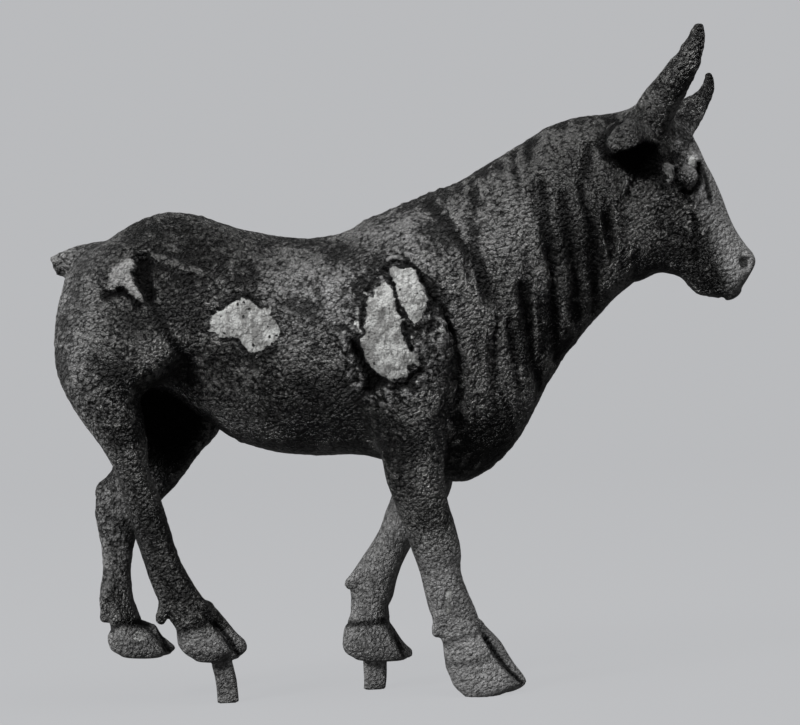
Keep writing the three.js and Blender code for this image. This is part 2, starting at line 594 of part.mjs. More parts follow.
// A block that holds everything below the ground.
function groundBlock(wasm) {
  const box = new THREE.BoxGeometry(400, 200, 40).translate(0, 0, -20);
  const { position } = box.attributes;
  const corner = (i) => [0, 1, 2].map((d) => position.getComponent(i, d)).join();
  const numbered = new Map();
  const positions = [];
  const index = Array.from(box.index.array, (i) => {
    if (!numbered.has(corner(i))) {
      numbered.set(corner(i), numbered.size);
      positions.push(position.getX(i), position.getY(i), position.getZ(i));
    }
    return numbered.get(corner(i));
  });
  return manifoldOf(wasm, positions, index);
}

const wasm = await Module();
wasm.setup();

const bronze = new THREE.MeshStandardMaterial({ color: 0x35373a, roughness: 0.55, metalness: 0.75 });

// The sections are drawn with the back as the eye sees it; the stance tips them onto the ground.
const stance = new THREE.Matrix4()
  .makeRotationY(Math.atan(GROUND_SLOPE))
  .multiply(new THREE.Matrix4().makeTranslation(0, 0, -GROUND_HEIGHT))
  .multiply(new THREE.Matrix4().makeScale(BODY_SIZE, BODY_SIZE, BODY_SIZE));

const reach = new THREE.Box3(new THREE.Vector3(-112, -33, -FOOT_EXCESS - 6), new THREE.Vector3(116, 33, 206));
const skin = thinned(surfaceOf(bull(), reach, MESH_CELL), FACE_BUDGET);
const figure = geometryFrom(solidFrom(wasm, skin, stance).subtract(groundBlock(wasm)));
figure.computeBoundingBox();
const middle = figure.boundingBox.getCenter(new THREE.Vector3());
figure.translate(-middle.x, -middle.y, -figure.boundingBox.min.z);

const bullFigure = new THREE.Mesh(figure, bronze);
bullFigure.name = "bull";

const group = new THREE.Group();
group.add(bullFigure);

export default group;
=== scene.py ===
"""A small cast-bronze bull, walking, set in a plain pale studio.

The bull is one casting, so it is one piece. Its form is the same as that of the solid: ovals
stacked along the trunk, the legs and the head, and tapered rolls for horns, ears and tail, all
melted together. Here the form gets a fine mesh, and the crust, the folds of the neck, the flaked
places and the cracks are worked into it.

Lengths are millimetres in the frame of the sections, in which the bull's back lies as the eye sees
it. `Stance` tips that frame onto the ground and turns it into the metres of the scene.
"""

import logging
import math
from dataclasses import dataclass, field
from enum import Enum
from typing import Callable, Sequence

import bpy
import numpy as np
from mathutils import Matrix, Vector


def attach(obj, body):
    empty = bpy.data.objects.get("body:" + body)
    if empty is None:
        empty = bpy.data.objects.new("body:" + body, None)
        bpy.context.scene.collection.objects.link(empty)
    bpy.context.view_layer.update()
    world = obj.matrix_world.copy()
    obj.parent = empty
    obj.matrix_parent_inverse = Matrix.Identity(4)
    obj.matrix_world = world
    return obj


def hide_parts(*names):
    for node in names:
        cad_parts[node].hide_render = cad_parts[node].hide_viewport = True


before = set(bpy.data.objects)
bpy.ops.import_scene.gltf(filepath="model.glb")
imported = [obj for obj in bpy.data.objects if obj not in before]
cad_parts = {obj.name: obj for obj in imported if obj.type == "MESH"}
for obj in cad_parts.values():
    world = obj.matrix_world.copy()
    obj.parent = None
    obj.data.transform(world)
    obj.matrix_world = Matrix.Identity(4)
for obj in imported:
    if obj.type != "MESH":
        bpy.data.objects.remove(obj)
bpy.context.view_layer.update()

log = logging.getLogger("bull")

Array = np.ndarray
Form = Callable[[Array], Array]
Row = Sequence[float]

FAR = 1e3  # distance given to points that a form is not worked out for
GATE = 11.0  # how far outside its own box a form is still worked out
GRID = 0.9  # step of the grid that finds the surface
COARSE = 4  # fine steps to one step of the grid that finds where the surface runs
REACH = 9.0  # a coarse point this near the surface has its fine points worked out
NOISE_GAIN = 1.6  # brings gradient noise to about -1 to 1
OCTAVE_HEIGHT = 0.55  # height of each octave of rough noise against the one before it
ROW_STEPS = 40  # places worked out along a stack of ovals for each of its rows
SIDE_ROOM = 6.0  # further room beside a stack of ovals, which a keel widens
BELOW_ZERO = -1e-3  # value of a grid point that is moved inside
LEAST_SLOPE = 0.25  # least squared slope by which a step to the surface is divided
LONGEST_STEP = 0.6  # longest step to the surface


# Smooth lines and noise.


def smooth_rows(places: Sequence[float], rows: Array, wanted: Array) -> Array:
    """Carries rows of numbers smoothly through their places.

    A cubic runs from each row to the next. Its slope at a row is the mean of the slopes of the
    straight lines on both sides, and at an end row the slope of the one line there.

    Args:
        places: the increasing place of each row.
        rows: one row of numbers for each place.
        wanted: the places to work out.

    Returns:
        One row of numbers for each wanted place.
    """
    t = np.asarray(places, float)
    v = np.asarray(rows, float)
    gaps = np.diff(t)[:, None]
    secants = np.diff(v, axis=0) / gaps
    slopes = np.vstack([secants[:1], (secants[1:] + secants[:-1]) / 2, secants[-1:]])
    i = np.clip(np.searchsorted(t, wanted, side="right") - 1, 0, len(t) - 2)
    gap = gaps[i]
    u = (np.clip(wanted, t[0], t[-1]) - t[i])[:, None] / gap
    rise = u * u * (3 - 2 * u)
    return (
        v[i] * (1 - rise)
        + v[i + 1] * rise
        + gap * u * (1 - u) * ((1 - u) * slopes[i] - u * slopes[i + 1])
    )


def smooth_line(points: Sequence[Row], steps: int) -> Array:
    """A smooth line through points, as steps + 1 evenly numbered points."""
    wanted = np.linspace(0, len(points) - 1, steps + 1)
    return smooth_rows(range(len(points)), np.asarray(points), wanted)


def smoothstep(low: float, high: float, value: Array) -> Array:
    """A soft step: 0 below low, 1 above high, and 3t^2 - 2t^3 between."""
    t = np.clip((value - low) / (high - low), 0, 1)
    return t * t * (3 - 2 * t)


@dataclass(frozen=True)
class Noise:
    """Gradient noise: a smooth random field with bumps of one size.

    Attributes:
        wave: distance from bump to bump.
        seed: which random field.
        stretch: how many times longer the bumps are along each axis.
    """

    wave: float
    seed: int
    stretch: tuple[float, float, float] = (1, 1, 1)

    def __call__(self, points: Array) -> Array:
        """Noise between about -1 and 1.

        Each corner of a cell of size wave has a random direction. The value at a point is the
        mean, weighted by 6t^5 - 15t^4 + 10t^3 along each axis, of the dot products of those
        directions with the steps from their corners.

        Args:
            points: places, one a row.

        Returns:
            One number for each place.
        """
        rng = np.random.default_rng(self.seed)
        directions = rng.normal(size=(256, 3))
        directions /= np.linalg.norm(directions, axis=1)[:, None]
        shuffle = rng.permutation(256)
        p = points / (self.wave * np.asarray(self.stretch)) + rng.uniform(0, 90, 3)
        cell = np.floor(p).astype(int)
        part = p - cell
        weight = part**3 * (part * (part * 6 - 15) + 10)
        total = np.zeros(len(points))
        for corner in np.ndindex(2, 2, 2):
            at = (cell + corner) & 255
            which = shuffle[(shuffle[(shuffle[at[:, 0]] + at[:, 1]) & 255] + at[:, 2]) & 255]
            share = np.prod(np.where(corner, weight, 1 - weight), axis=1)
            total += share * np.einsum("ij,ij->i", directions[which], part - corner)
        return total * NOISE_GAIN


def rough(points: Array, wave: float, seed: int, octaves: int = 3) -> Array:
    """Noise with finer noise on it: each octave has half the wave and OCTAVE_HEIGHT the height."""
    return sum(OCTAVE_HEIGHT**n * Noise(wave / 2**n, seed + n)(points) for n in range(octaves))


# Forms: each gives the distance of points from its surface, negative inside.


def melt(a: Array, b: Array, size: float) -> Array:
    """Union of two forms with a fillet between them.

    The lesser distance, less a quarter of size times the square of how far the two are within
    size of each other.
    """
    overlap = np.maximum(size - np.abs(a - b), 0) / size
    return np.minimum(a, b) - overlap * overlap * size * 0.25


def carve(form: Array, cavity: Array, size: float) -> Array:
    """A form with a cavity taken out of it, and the rim rounded."""
    return -melt(-form, cavity, size)


class Course(Enum):
    """The straight way along which ovals are stacked, with the origin, the way and its normal."""

    LENGTHWISE = ((0, 0), (1, 0), (0, 1))
    UPRIGHT = ((0, 0), (0, 1), (1, 0))
    FACEWISE = ((76.5, 165.6), (0.571, -0.821), (0.821, 0.571))


@dataclass(frozen=True)
class Ovals:
    """Ovals stacked along a straight course in the plane of the side view.

    Attributes:
        rows: sections, each (along, low, high, side, half width, keel). The keel is the share by
            which the section is wider at the top than in the middle, and narrower at the bottom.
        course: the course they are stacked on.
        squareness: power of the oval, 2 for an ellipse and more for a squarer one.
        caps: length of the rounded end before the first section and past the last.
    """

    rows: Sequence[Row]
    course: Course
    squareness: float = 2
    caps: tuple[float, float] = (6, 6)

    def __call__(self, points: Array) -> Array:
        """Distance from the surface, measured along the ray from the middle of the section.

        With n and t the distances from the middle in halves of the section, the ray meets the
        surface where the length of (|n|^p + |t|^p)^(1/p) and the part of the cap passed is 1.

        Args:
            points: places, one a row.

        Returns:
            One distance for each place, FAR where the place is well outside.
        """
        rows = np.array(sorted([*map(float, r), 0.0][:6] for r in self.rows))  # keel 0 if not given
        (x0, z0), (ax, az), (cx, cz) = self.course.value
        dx, dz = points[:, 0] - x0, points[:, 2] - z0
        s, n = dx * ax + dz * az, dx * cx + dz * cz
        first, last = rows[0, 0], rows[-1, 0]
        widest = rows[:, 4].max()
        near = (s > first - GATE - self.caps[0]) & (s < last + GATE + self.caps[1])
        near &= (n > rows[:, 1].min() - GATE) & (n < rows[:, 2].max() + GATE)
        near &= np.abs(points[:, 1] - rows[:, 3].mean()) < widest + GATE + SIDE_ROOM
        out = np.full(len(points), FAR)
        s, n, y = s[near], n[near], points[near, 1]
        inside = np.clip(s, first, last)
        fine = np.linspace(first, last, ROW_STEPS * len(rows))
        table = smooth_rows(rows[:, 0], rows[:, 1:], fine)
        low, high, side, width, keel = (np.interp(inside, fine, column) for column in table.T)
        half = (high - low) / 2
        n = n - (high + low) / 2
        t = y - side
        wide = width * (1 + keel * np.clip(n / half, -1, 1))
        past = s - inside
        cap = np.where(past < 0, *self.caps)
        p = self.squareness
        ratio = (np.abs(n / half) ** p + np.abs(t / wide) ** p) ** (1 / p)
        stretched = np.maximum(np.hypot(ratio, past / cap), 1e-6)
        out[near] = np.sqrt(n * n + t * t + past * past) * (1 - 1 / stretched)
        return out


@dataclass(frozen=True)
class Roll:
    """A round roll along a smooth line.

    Attributes:
        points: (x, y, z, radius) along it.
        steps: straight pieces that the line is worked out in.
    """

    points: Sequence[Row]
    steps: int = 14

    def __call__(self, places: Array) -> Array:
        """Distance from the nearest of a chain of round cones between beads on the line.

        It is the gap to the nearest point of the straight line between two beads, less the
        radius there, which goes evenly from bead to bead.

        Args:
            places: places, one a row.

        Returns:
            One distance for each place, FAR where the place is well outside.
        """
        beads = smooth_line(self.points, self.steps)
        margin = GATE + beads[:, 3].max()
        low, high = beads[:, :3].min(0) - margin, beads[:, :3].max(0) + margin
        near = np.all((places > low) & (places < high), axis=1)
        out = np.full(len(places), FAR)
        p = places[near]
        best = np.full(len(p), FAR)
        for a, b in zip(beads[:-1], beads[1:]):
            way = b[:3] - a[:3]
            t = np.clip((p - a[:3]) @ way / (way @ way), 0, 1)
            gap = np.linalg.norm(p - a[:3] - t[:, None] * way, axis=1)
            best = np.minimum(best, gap - a[3] - t * (b[3] - a[3]))
        out[near] = best
        return out


def distance_to_line(points: Array, line: Array) -> Array:
    """Least distance, in the side view, from points to the straight pieces of a line.

    Args:
        points: places, one a row.
        line: (x, z) of each corner of the line.

    Returns:
        One distance for each place.
    """
    x, z = points[:, 0], points[:, 2]
    best = np.full(len(points), FAR)
    for (ax, az), (bx, bz) in zip(line[:-1], line[1:]):
        ux, uz = bx - ax, bz - az
        t = np.clip(((x - ax) * ux + (z - az) * uz) / (ux * ux + uz * uz), 0, 1)
        best = np.minimum(best, np.hypot(x - ax - t * ux, z - az - t * uz))
    return best


@dataclass(frozen=True)
class Furrow:
    """A rounded furrow that runs through points of the side view.

    Attributes:
        through: (x, z) points.
        width: distance at which the depth has fallen to 0.37.
        depth: depth on the line.
    """

    through: Sequence[Row]
    width: float
    depth: float

    def __call__(self, points: Array) -> Array:
        """Depth at points: depth times e to the minus square of distance over width.

        Args:
            points: places, one a row.

        Returns:
            One depth for each place.
        """
        x, z = points[:, 0], points[:, 2]
        line = smooth_line(self.through, 4 * len(self.through))
        reach = 3 * self.width
        near = (x > line[:, 0].min() - reach) & (x < line[:, 0].max() + reach)
        near &= (z > line[:, 1].min() - reach) & (z < line[:, 1].max() + reach)
        out = np.zeros(len(points))
        out[near] = self.depth * np.exp(-((distance_to_line(points[near], line) / self.width) ** 2))
        return out

    def tapered(self, points: Array) -> Array:
        """Depth that fades out over the last two fifths of the line's height at either end.

        Args:
            points: places, one a row.

        Returns:
            One depth for each place.
        """
        heights = [z for _, z in self.through]
        along = (points[:, 2] - min(heights)) / (max(heights) - min(heights))
        return self(points) * smoothstep(-0.05, 0.4, along) * smoothstep(1.05, 0.6, along)


@dataclass(frozen=True)
class Patch:
    """A closed outline in the side view, with a ragged edge.

    Attributes:
        outline: (x, z) corners.
        ragged: how far the edge wanders.
        wave: size of the wandering.
        seed: which wandering.
        reach: how far outside its box the patch is still worked out.
    """

    outline: Sequence[Row]
    ragged: float
    wave: float
    seed: int
    reach: float = 6.0

    def __call__(self, points: Array) -> Array:
        """Distance from the edge, negative inside.

        A point is inside if a line from it crosses the outline an odd number of times. The
        distance then has noise added to it.

        Args:
            points: places, one a row.

        Returns:
            One distance for each place, FAR where the place is well outside.
        """
        x, z = points[:, 0], points[:, 2]
        line = np.asarray([*self.outline, self.outline[0]], float)
        reach = self.reach
        near = (x > line[:, 0].min() - reach) & (x < line[:, 0].max() + reach)
        near &= (z > line[:, 1].min() - reach) & (z < line[:, 1].max() + reach)
        out = np.full(len(points), FAR)
        p = points[near]
        inside = np.zeros(len(p), bool)
        for (ax, az), (bx, bz) in zip(line[:-1], line[1:]):
            spans = (az > p[:, 2]) != (bz > p[:, 2])
            inside ^= spans & (p[:, 0] < ax + (p[:, 2] - az) * (bx - ax) / ((bz - az) or 1e-9))
        edge = distance_to_line(p, line)
        out[near] = np.where(inside, -edge, edge) + self.ragged * rough(p, self.wave, self.seed, 3)
        return out


# The parts of the bull.


@dataclass(frozen=True)
class Stance:
    """How the frame of the sections stands on the ground.

    Attributes:
        slope: rise of the ground along x in that frame.
        height: height of the ground at x = 0.
        middle: where the middle of the bull's box falls, once level, along x and y.
    """

    slope: float = 0.0414
    height: float = 2.56
    middle: tuple[float, float] = (6.432, -0.026)

    def turn(self) -> Matrix:
        """The turn about the y axis that levels the ground."""
        return Matrix.Rotation(math.atan(self.slope), 4, "Y")

    def place(self, points: Array) -> Array:
        """Points of the frame of the sections as metres of the scene."""
        level = (points - (0, 0, self.height)) @ np.array(self.turn().to_3x3()).T
        return (level - (*self.middle, 0)) / 1000

    def lift(self, points: Array) -> Array:
        """Points of the level frame, in millimetres, as points of the frame of the sections."""
        return (points + (*self.middle, 0)) @ np.array(self.turn().to_3x3()) + (0, 0, self.height)


@dataclass
class Trunk:
    """Trunk, neck and tail stub.

    Attributes:
        rows: sections of trunk and neck, from the rump forward.
        caps: lengths of the rounded ends of rump and neck.
        tail: the roll of the tail.
        tail_break: a point of the flat face that ends the tail, and the way it faces.
        melt_tail: size of the fillet between tail and rump.
    """

    rows: Sequence[Row] = (
        (-88.5, 95, 138, 0, 13.5, 0),
        (-79.5, 95, 143.8, 0, 18, 0),
        (-70.5, 93.5, 146.8, 0, 20.5, 0),
        (-60, 86, 145.8, 0, 22, 0),
        (-48, 78.2, 142, 0, 23.5, 0),
        (-34.5, 74.7, 139.5, 0, 25, 0),
        (-24, 74.2, 139.5, 0, 25.5, 0),
        (-15, 74.2, 141.6, 0, 25.5, 0),
        (-9.5, 73.6, 145.2, 0, 25, 0.03),
        (-4.5, 72.5, 147.1, 0, 24.5, 0.05),
        (7.5, 69, 152.4, 0, 23, 0.1),
        (18, 66, 156.4, 0, 21, 0.15),
        (27, 70, 162, 0, 19, 0.2),
        (36, 79.6, 167.2, 0, 17.5, 0.22),
        (45, 96.8, 172.8, 0, 16, 0.22),
        (54, 109.6, 175.6, 0, 15, 0.2),
        (63, 119.8, 176.2, 0, 14, 0.15),
        (70.5, 126, 176.4, 0, 12.5, 0.1),
    )
    caps: tuple[float, float] = (13, 9)
    tail: Sequence[Row] = (
        (-84, 0, 129, 6.5), (-93.5, 0, 132, 5), (-99, 0, 132, 3.8), (-103.4, 0, 130.6, 2.9),
    )
    tail_break: tuple[Row, Row] = ((-103.6, 0, 130), (-0.9, 0, -0.35))
    melt_tail: float = 3.5

    def __call__(self, points: Array) -> Array:
        """Distance from the trunk melted with the tail, which ends on a flat broken face.

        Args:
            points: places, one a row.

        Returns:
            One distance for each place.
        """
        at, facing = map(np.array, self.tail_break)
        tail = np.maximum(Roll(self.tail)(points), (points - at) @ facing)
        trunk = Ovals(self.rows, Course.LENGTHWISE, caps=self.caps)(points)
        return melt(trunk, tail, self.melt_tail)


@dataclass
class Leg:
    """One leg: ovals from the top down, a hoof of two claws, two dewclaws and perhaps a tang.

    Attributes:
        rows: sections, each (height, rear, front, side, half width).
        hoof: the same for the outline of both claws together.
        splay: how far one claw is set before the middle and the other behind it.
        dewclaw: where the pair leaves the leg, where it ends, and how far each is from the middle.
        tang: sections of the casting tang under the hoof, if it has one.
        leg_caps: lengths of the rounded ends of the leg.
        claw_spread: how far each claw is from the middle, as a share of the half width.
        claw_width: half width of a claw, as a share of that of both.
        claw_power: squareness of a claw.
        claw_caps: lengths of a claw's rounded ends.
        dewclaw_radius: radius of a dewclaw where it leaves the leg.
        dewclaw_taper: radius at its end, as a share of that.
        tang_power: squareness of the tang.
        tang_caps: lengths of its rounded ends.
        hoof_top: height up to which the hoof is worked out.
        hoof_room: how far to either side it is worked out.
        melt_claws: size of the fillet between the claws.
        melt_hoof: the same between the leg and the claws.
        melt_dewclaw: the same between the leg and a dewclaw.
        melt_tang: the same between the hoof and the tang.
    """

    rows: Sequence[Row]
    hoof: Sequence[Row]
    splay: float
    dewclaw: tuple[Row, Row, float]
    tang: Sequence[Row] = ()
    leg_caps: tuple[float, float] = (2, 4)
    claw_spread: float = 0.44
    claw_width: float = 0.56
    claw_power: float = 2.4
    claw_caps: tuple[float, float] = (1.1, 2)
    dewclaw_radius: float = 2
    dewclaw_taper: float = 0.8
    tang_power: float = 4
    tang_caps: tuple[float, float] = (2, 2)
    hoof_top: float = 45
    hoof_room: float = 24
    melt_claws: float = 0.7
    melt_hoof: float = 2.2
    melt_dewclaw: float = 1.4
    melt_tang: float = 0.6

    def __call__(self, points: Array) -> Array:
        """Distance from the leg, its hoof, dewclaws and tang melted together.

        Args:
            points: places, one a row.

        Returns:
            One distance for each place.
        """
        out = Ovals(self.rows, Course.UPRIGHT, caps=self.leg_caps)(points)
        x, y, z = points.T
        sections = np.array([r for r in self.rows if r[0] < self.hoof_top] + list(self.hoof))
        low = (z <= self.hoof_top) & (np.abs(y - sections[:, 3].mean()) < self.hoof_room)
        low &= (x > sections[:, 1].min() - GATE) & (x < sections[:, 2].max() + GATE)
        p = points[low]
        claws = [
            Ovals(self.claw_rows(side), Course.UPRIGHT, self.claw_power, self.claw_caps)(p)
            for side in (-1, 1)
        ]
        form = melt(out[low], melt(*claws, self.melt_claws), self.melt_hoof)
        for side in (-1, 1):
            form = melt(form, Roll(self.dewclaw_beads(side), 1)(p), self.melt_dewclaw)
        if self.tang:
            tang = Ovals(self.tang, Course.UPRIGHT, self.tang_power, self.tang_caps)(p)
            form = melt(form, tang, self.melt_tang)
        out[low] = form
        return out

    def claw_rows(self, side: int) -> list[Row]:
        """Sections of the claw on one side: the hoof's, shifted by splay and narrowed.

        Args:
            side: -1 or 1.

        Returns:
            The sections, as those of the hoof.
        """
        shift, spread = side * self.splay, side * self.claw_spread
        return [
            (z, heel + shift, toe + shift, y + w * spread, w * self.claw_width)
            for z, heel, toe, y, w in self.hoof
        ]

    def dewclaw_beads(self, side: int) -> list[Row]:
        """Both ends of the dewclaw on one side.

        Args:
            side: -1 or 1.

        Returns:
            Two beads of a roll, (x, y, z, radius) each.
        """
        (*ends, apart), r = self.dewclaw, self.dewclaw_radius
        radii = (r, self.dewclaw_taper * r)
        return [(x, y + side * apart, z, radius) for (x, y, z), radius in zip(ends, radii)]


def right_hind() -> Leg:
    """The right hind leg, set forward, with a tang.

    Returns:
        The leg.
    """
    return Leg(
        rows=(
            (134, -91.5, -64, -10.5, 9.5), (129, -97.5, -58.5, -12, 11.8),
            (123, -99.5, -55.5, -13, 12.5), (114.5, -101.2, -56.5, -14, 13),
            (105.5, -101.4, -60, -15, 13), (98, -100.4, -68, -15.5, 12.5),
            (92.5, -98, -75.5, -16, 11.5), (85, -93.4, -75, -15.5, 9.5),
            (77.5, -88, -74.3, -14.5, 8), (70, -84, -73.9, -13, 6.5),
            (61.5, -81.5, -70.7, -11.5, 5.5), (52.5, -79, -67.9, -9.5, 5.5), (43, -76, -65, -8, 5),
            (39.5, -75, -63.3, -7.2, 5.2), (32.4, -72.5, -59, -5.8, 5.5),
            (28.8, -71, -56.2, -5, 5.8), (25, -68.5, -55, -4, 5.6),
        ),
        hoof=(
            (29, -67.5, -57.5, -4, 5.4), (24.5, -65.4, -53.8, -4, 6.5), (21, -64.6, -51, -3.5, 7),
            (18, -64, -48.1, -3.5, 7.4), (15.5, -62.2, -48, -3.5, 7.2),
            (13.7, -59.5, -50, -3.5, 6.4),
        ),
        splay=1.85,
        dewclaw=((-69.5, -5.5, 31), (-70.9, -5, 25.7), 3),
        tang=(
            (18, -57.6, -51.4, -3.5, 2.6), (12, -56.2, -50, -3.5, 2.6), (7, -55, -48.8, -3.5, 2.6),
            (1, -54.4, -48.2, -3.5, 2.6), (-4, -54, -47.8, -3.5, 2.6),
        ),
    )


def left_hind() -> Leg:
    """The left hind leg, set back, with its hoof clear of the ground.

    Returns:
        The leg.
    """
    return Leg(
        rows=(
            (134, -92, -65, 10.5, 9.5), (129, -98.5, -59.5, 12, 11.8),
            (123, -100.5, -57.5, 13, 12.5), (115, -102.6, -56.5, 14, 13),
            (105.5, -102.8, -55.5, 15, 13), (96.5, -102.2, -55, 15.5, 12.5),
            (89, -98.8, -54.7, 15.5, 11.5), (81, -93.4, -55.5, 15, 10),
            (74.5, -88.6, -60.9, 14, 8.5), (69, -88.2, -64.9, 13, 7), (64, -92.8, -68.9, 12.5, 6),
            (60, -92.8, -72.6, 11.5, 5.5), (55.5, -92.9, -77.2, 11, 5), (51, -91.9, -79.6, 10, 5),
            (45.5, -90.7, -81, 9.5, 4.5), (39, -90.3, -81.7, 9, 4.5), (32, -90.9, -81.2, 8, 4.8),
            (28, -90.6, -80.3, 7.5, 4.8), (24.5, -88, -78.8, 7, 4.8),
        ),
        hoof=(
            (27, -86.6, -81.2, 7, 4.6), (24, -86.2, -79.6, 7, 5.4), (22.6, -86.6, -76.2, 7, 6.1),
            (20, -87.2, -73.6, 6.5, 6.9), (17.3, -87, -71.3, 6.5, 7.3),
            (15, -85.8, -69.2, 6.5, 7.3), (13.7, -83.6, -70.4, 6.5, 6.7),
        ),
        splay=0.8,
        dewclaw=((-88, 8, 31), (-89.2, 8, 24.8), 2.6),
    )


def right_fore() -> Leg:
    """The right fore leg, set forward, with its sole on the ground.

    Returns:
        The leg.
    """
    return Leg(
        rows=(
            (138, -0.5, 14.5, -12.5, 5), (132, -5.5, 16.5, -15, 6.8), (123, -9.5, 16.5, -17, 8),
            (111.5, -11.5, 15.5, -18, 8.5), (99.5, -12.5, 14, -18.5, 8.5),
            (91, -11, 13.5, -17.5, 8.5), (82, -8, 13, -17, 8.5), (74.5, -5.5, 13, -15.5, 8),
            (67.5, -4, 13, -14.5, 7.5), (61.5, -2, 14, -13, 7), (54, 0.8, 16.3, -12, 6.5),
            (47, 3.2, 17.8, -11, 6.5), (40, 5.7, 18.1, -10, 5.5), (32.8, 7.5, 20.6, -9.5, 5.5),
            (29.2, 8.4, 22.2, -9, 5.5), (25.7, 9.8, 23.4, -8.5, 5.5), (21, 12.5, 25.5, -8.5, 5.8),
        ),
        hoof=(
            (23.8, 12.6, 23.4, -8.5, 5.8), (21, 13.8, 26.2, -8.2, 6.8), (18.5, 14.4, 28.4, -8, 7.5),
            (15.8, 14.7, 30, -8, 7.8), (12.2, 15.2, 32.3, -8, 8), (8.9, 16.6, 34.8, -8, 8.2),
            (6.6, 17.6, 35.8, -8, 8.1), (5, 19, 34.2, -8, 7.8), (3.6, 20.6, 31, -8, 7.4),
            (-2, 22, 29, -8, 7),
        ),
        splay=1.8,
        dewclaw=((12, -9.5, 27), (11, -9.5, 22.4), 3),
    )


def left_fore() -> Leg:
    """The left fore leg, bent back, with a tang.

    Returns:
        The leg.
    """
    return Leg(
        rows=(
            (121, -6, 17, 17, 7), (105.5, -8.5, 15.5, 18, 8.5), (90.5, -7.5, 15.5, 17.5, 8.5),
            (78, -3.5, 16, 16.5, 8), (69, -2, 16.5, 15.5, 8), (61.5, -2.5, 15, 15, 7),
            (56, -4.5, 11.5, 14.5, 6.5), (51.5, -6, 8, 14, 6.5), (46.5, -8.8, 4, 14, 6),
            (41, -12.5, 1, 13.5, 5.5), (37.8, -14.4, -0.3, 13, 5.5), (34, -15.3, -1.3, 13, 5.5),
            (30.5, -15, -2.1, 13, 5.3), (26.8, -15, -3.7, 13, 5), (24, -14.5, -3.4, 13, 5.2),
        ),
        hoof=(
            (26, -13.4, -4.6, 13, 5), (22.6, -15.6, -4, 13, 6.4), (20.5, -16.2, -2.6, 13, 7),
            (17.7, -16.6, -0.8, 13, 7.5), (15.6, -16.6, 0.8, 13, 7.7), (13.4, -15.4, 3, 13, 7.5),
            (12, -13, 2.9, 13, 6.8),
        ),
        splay=0.8,
        dewclaw=((-12.5, 13, 37), (-15.2, 13, 34.4), 2.6),
        tang=(
            (17, -11.2, -4, 13, 2.6), (10, -11.2, -4, 13, 2.6), (5, -11, -4.1, 13, 2.6),
            (1, -11.1, -4.7, 13, 2.6), (-4, -11.1, -5, 13, 2.6),
        ),
    )


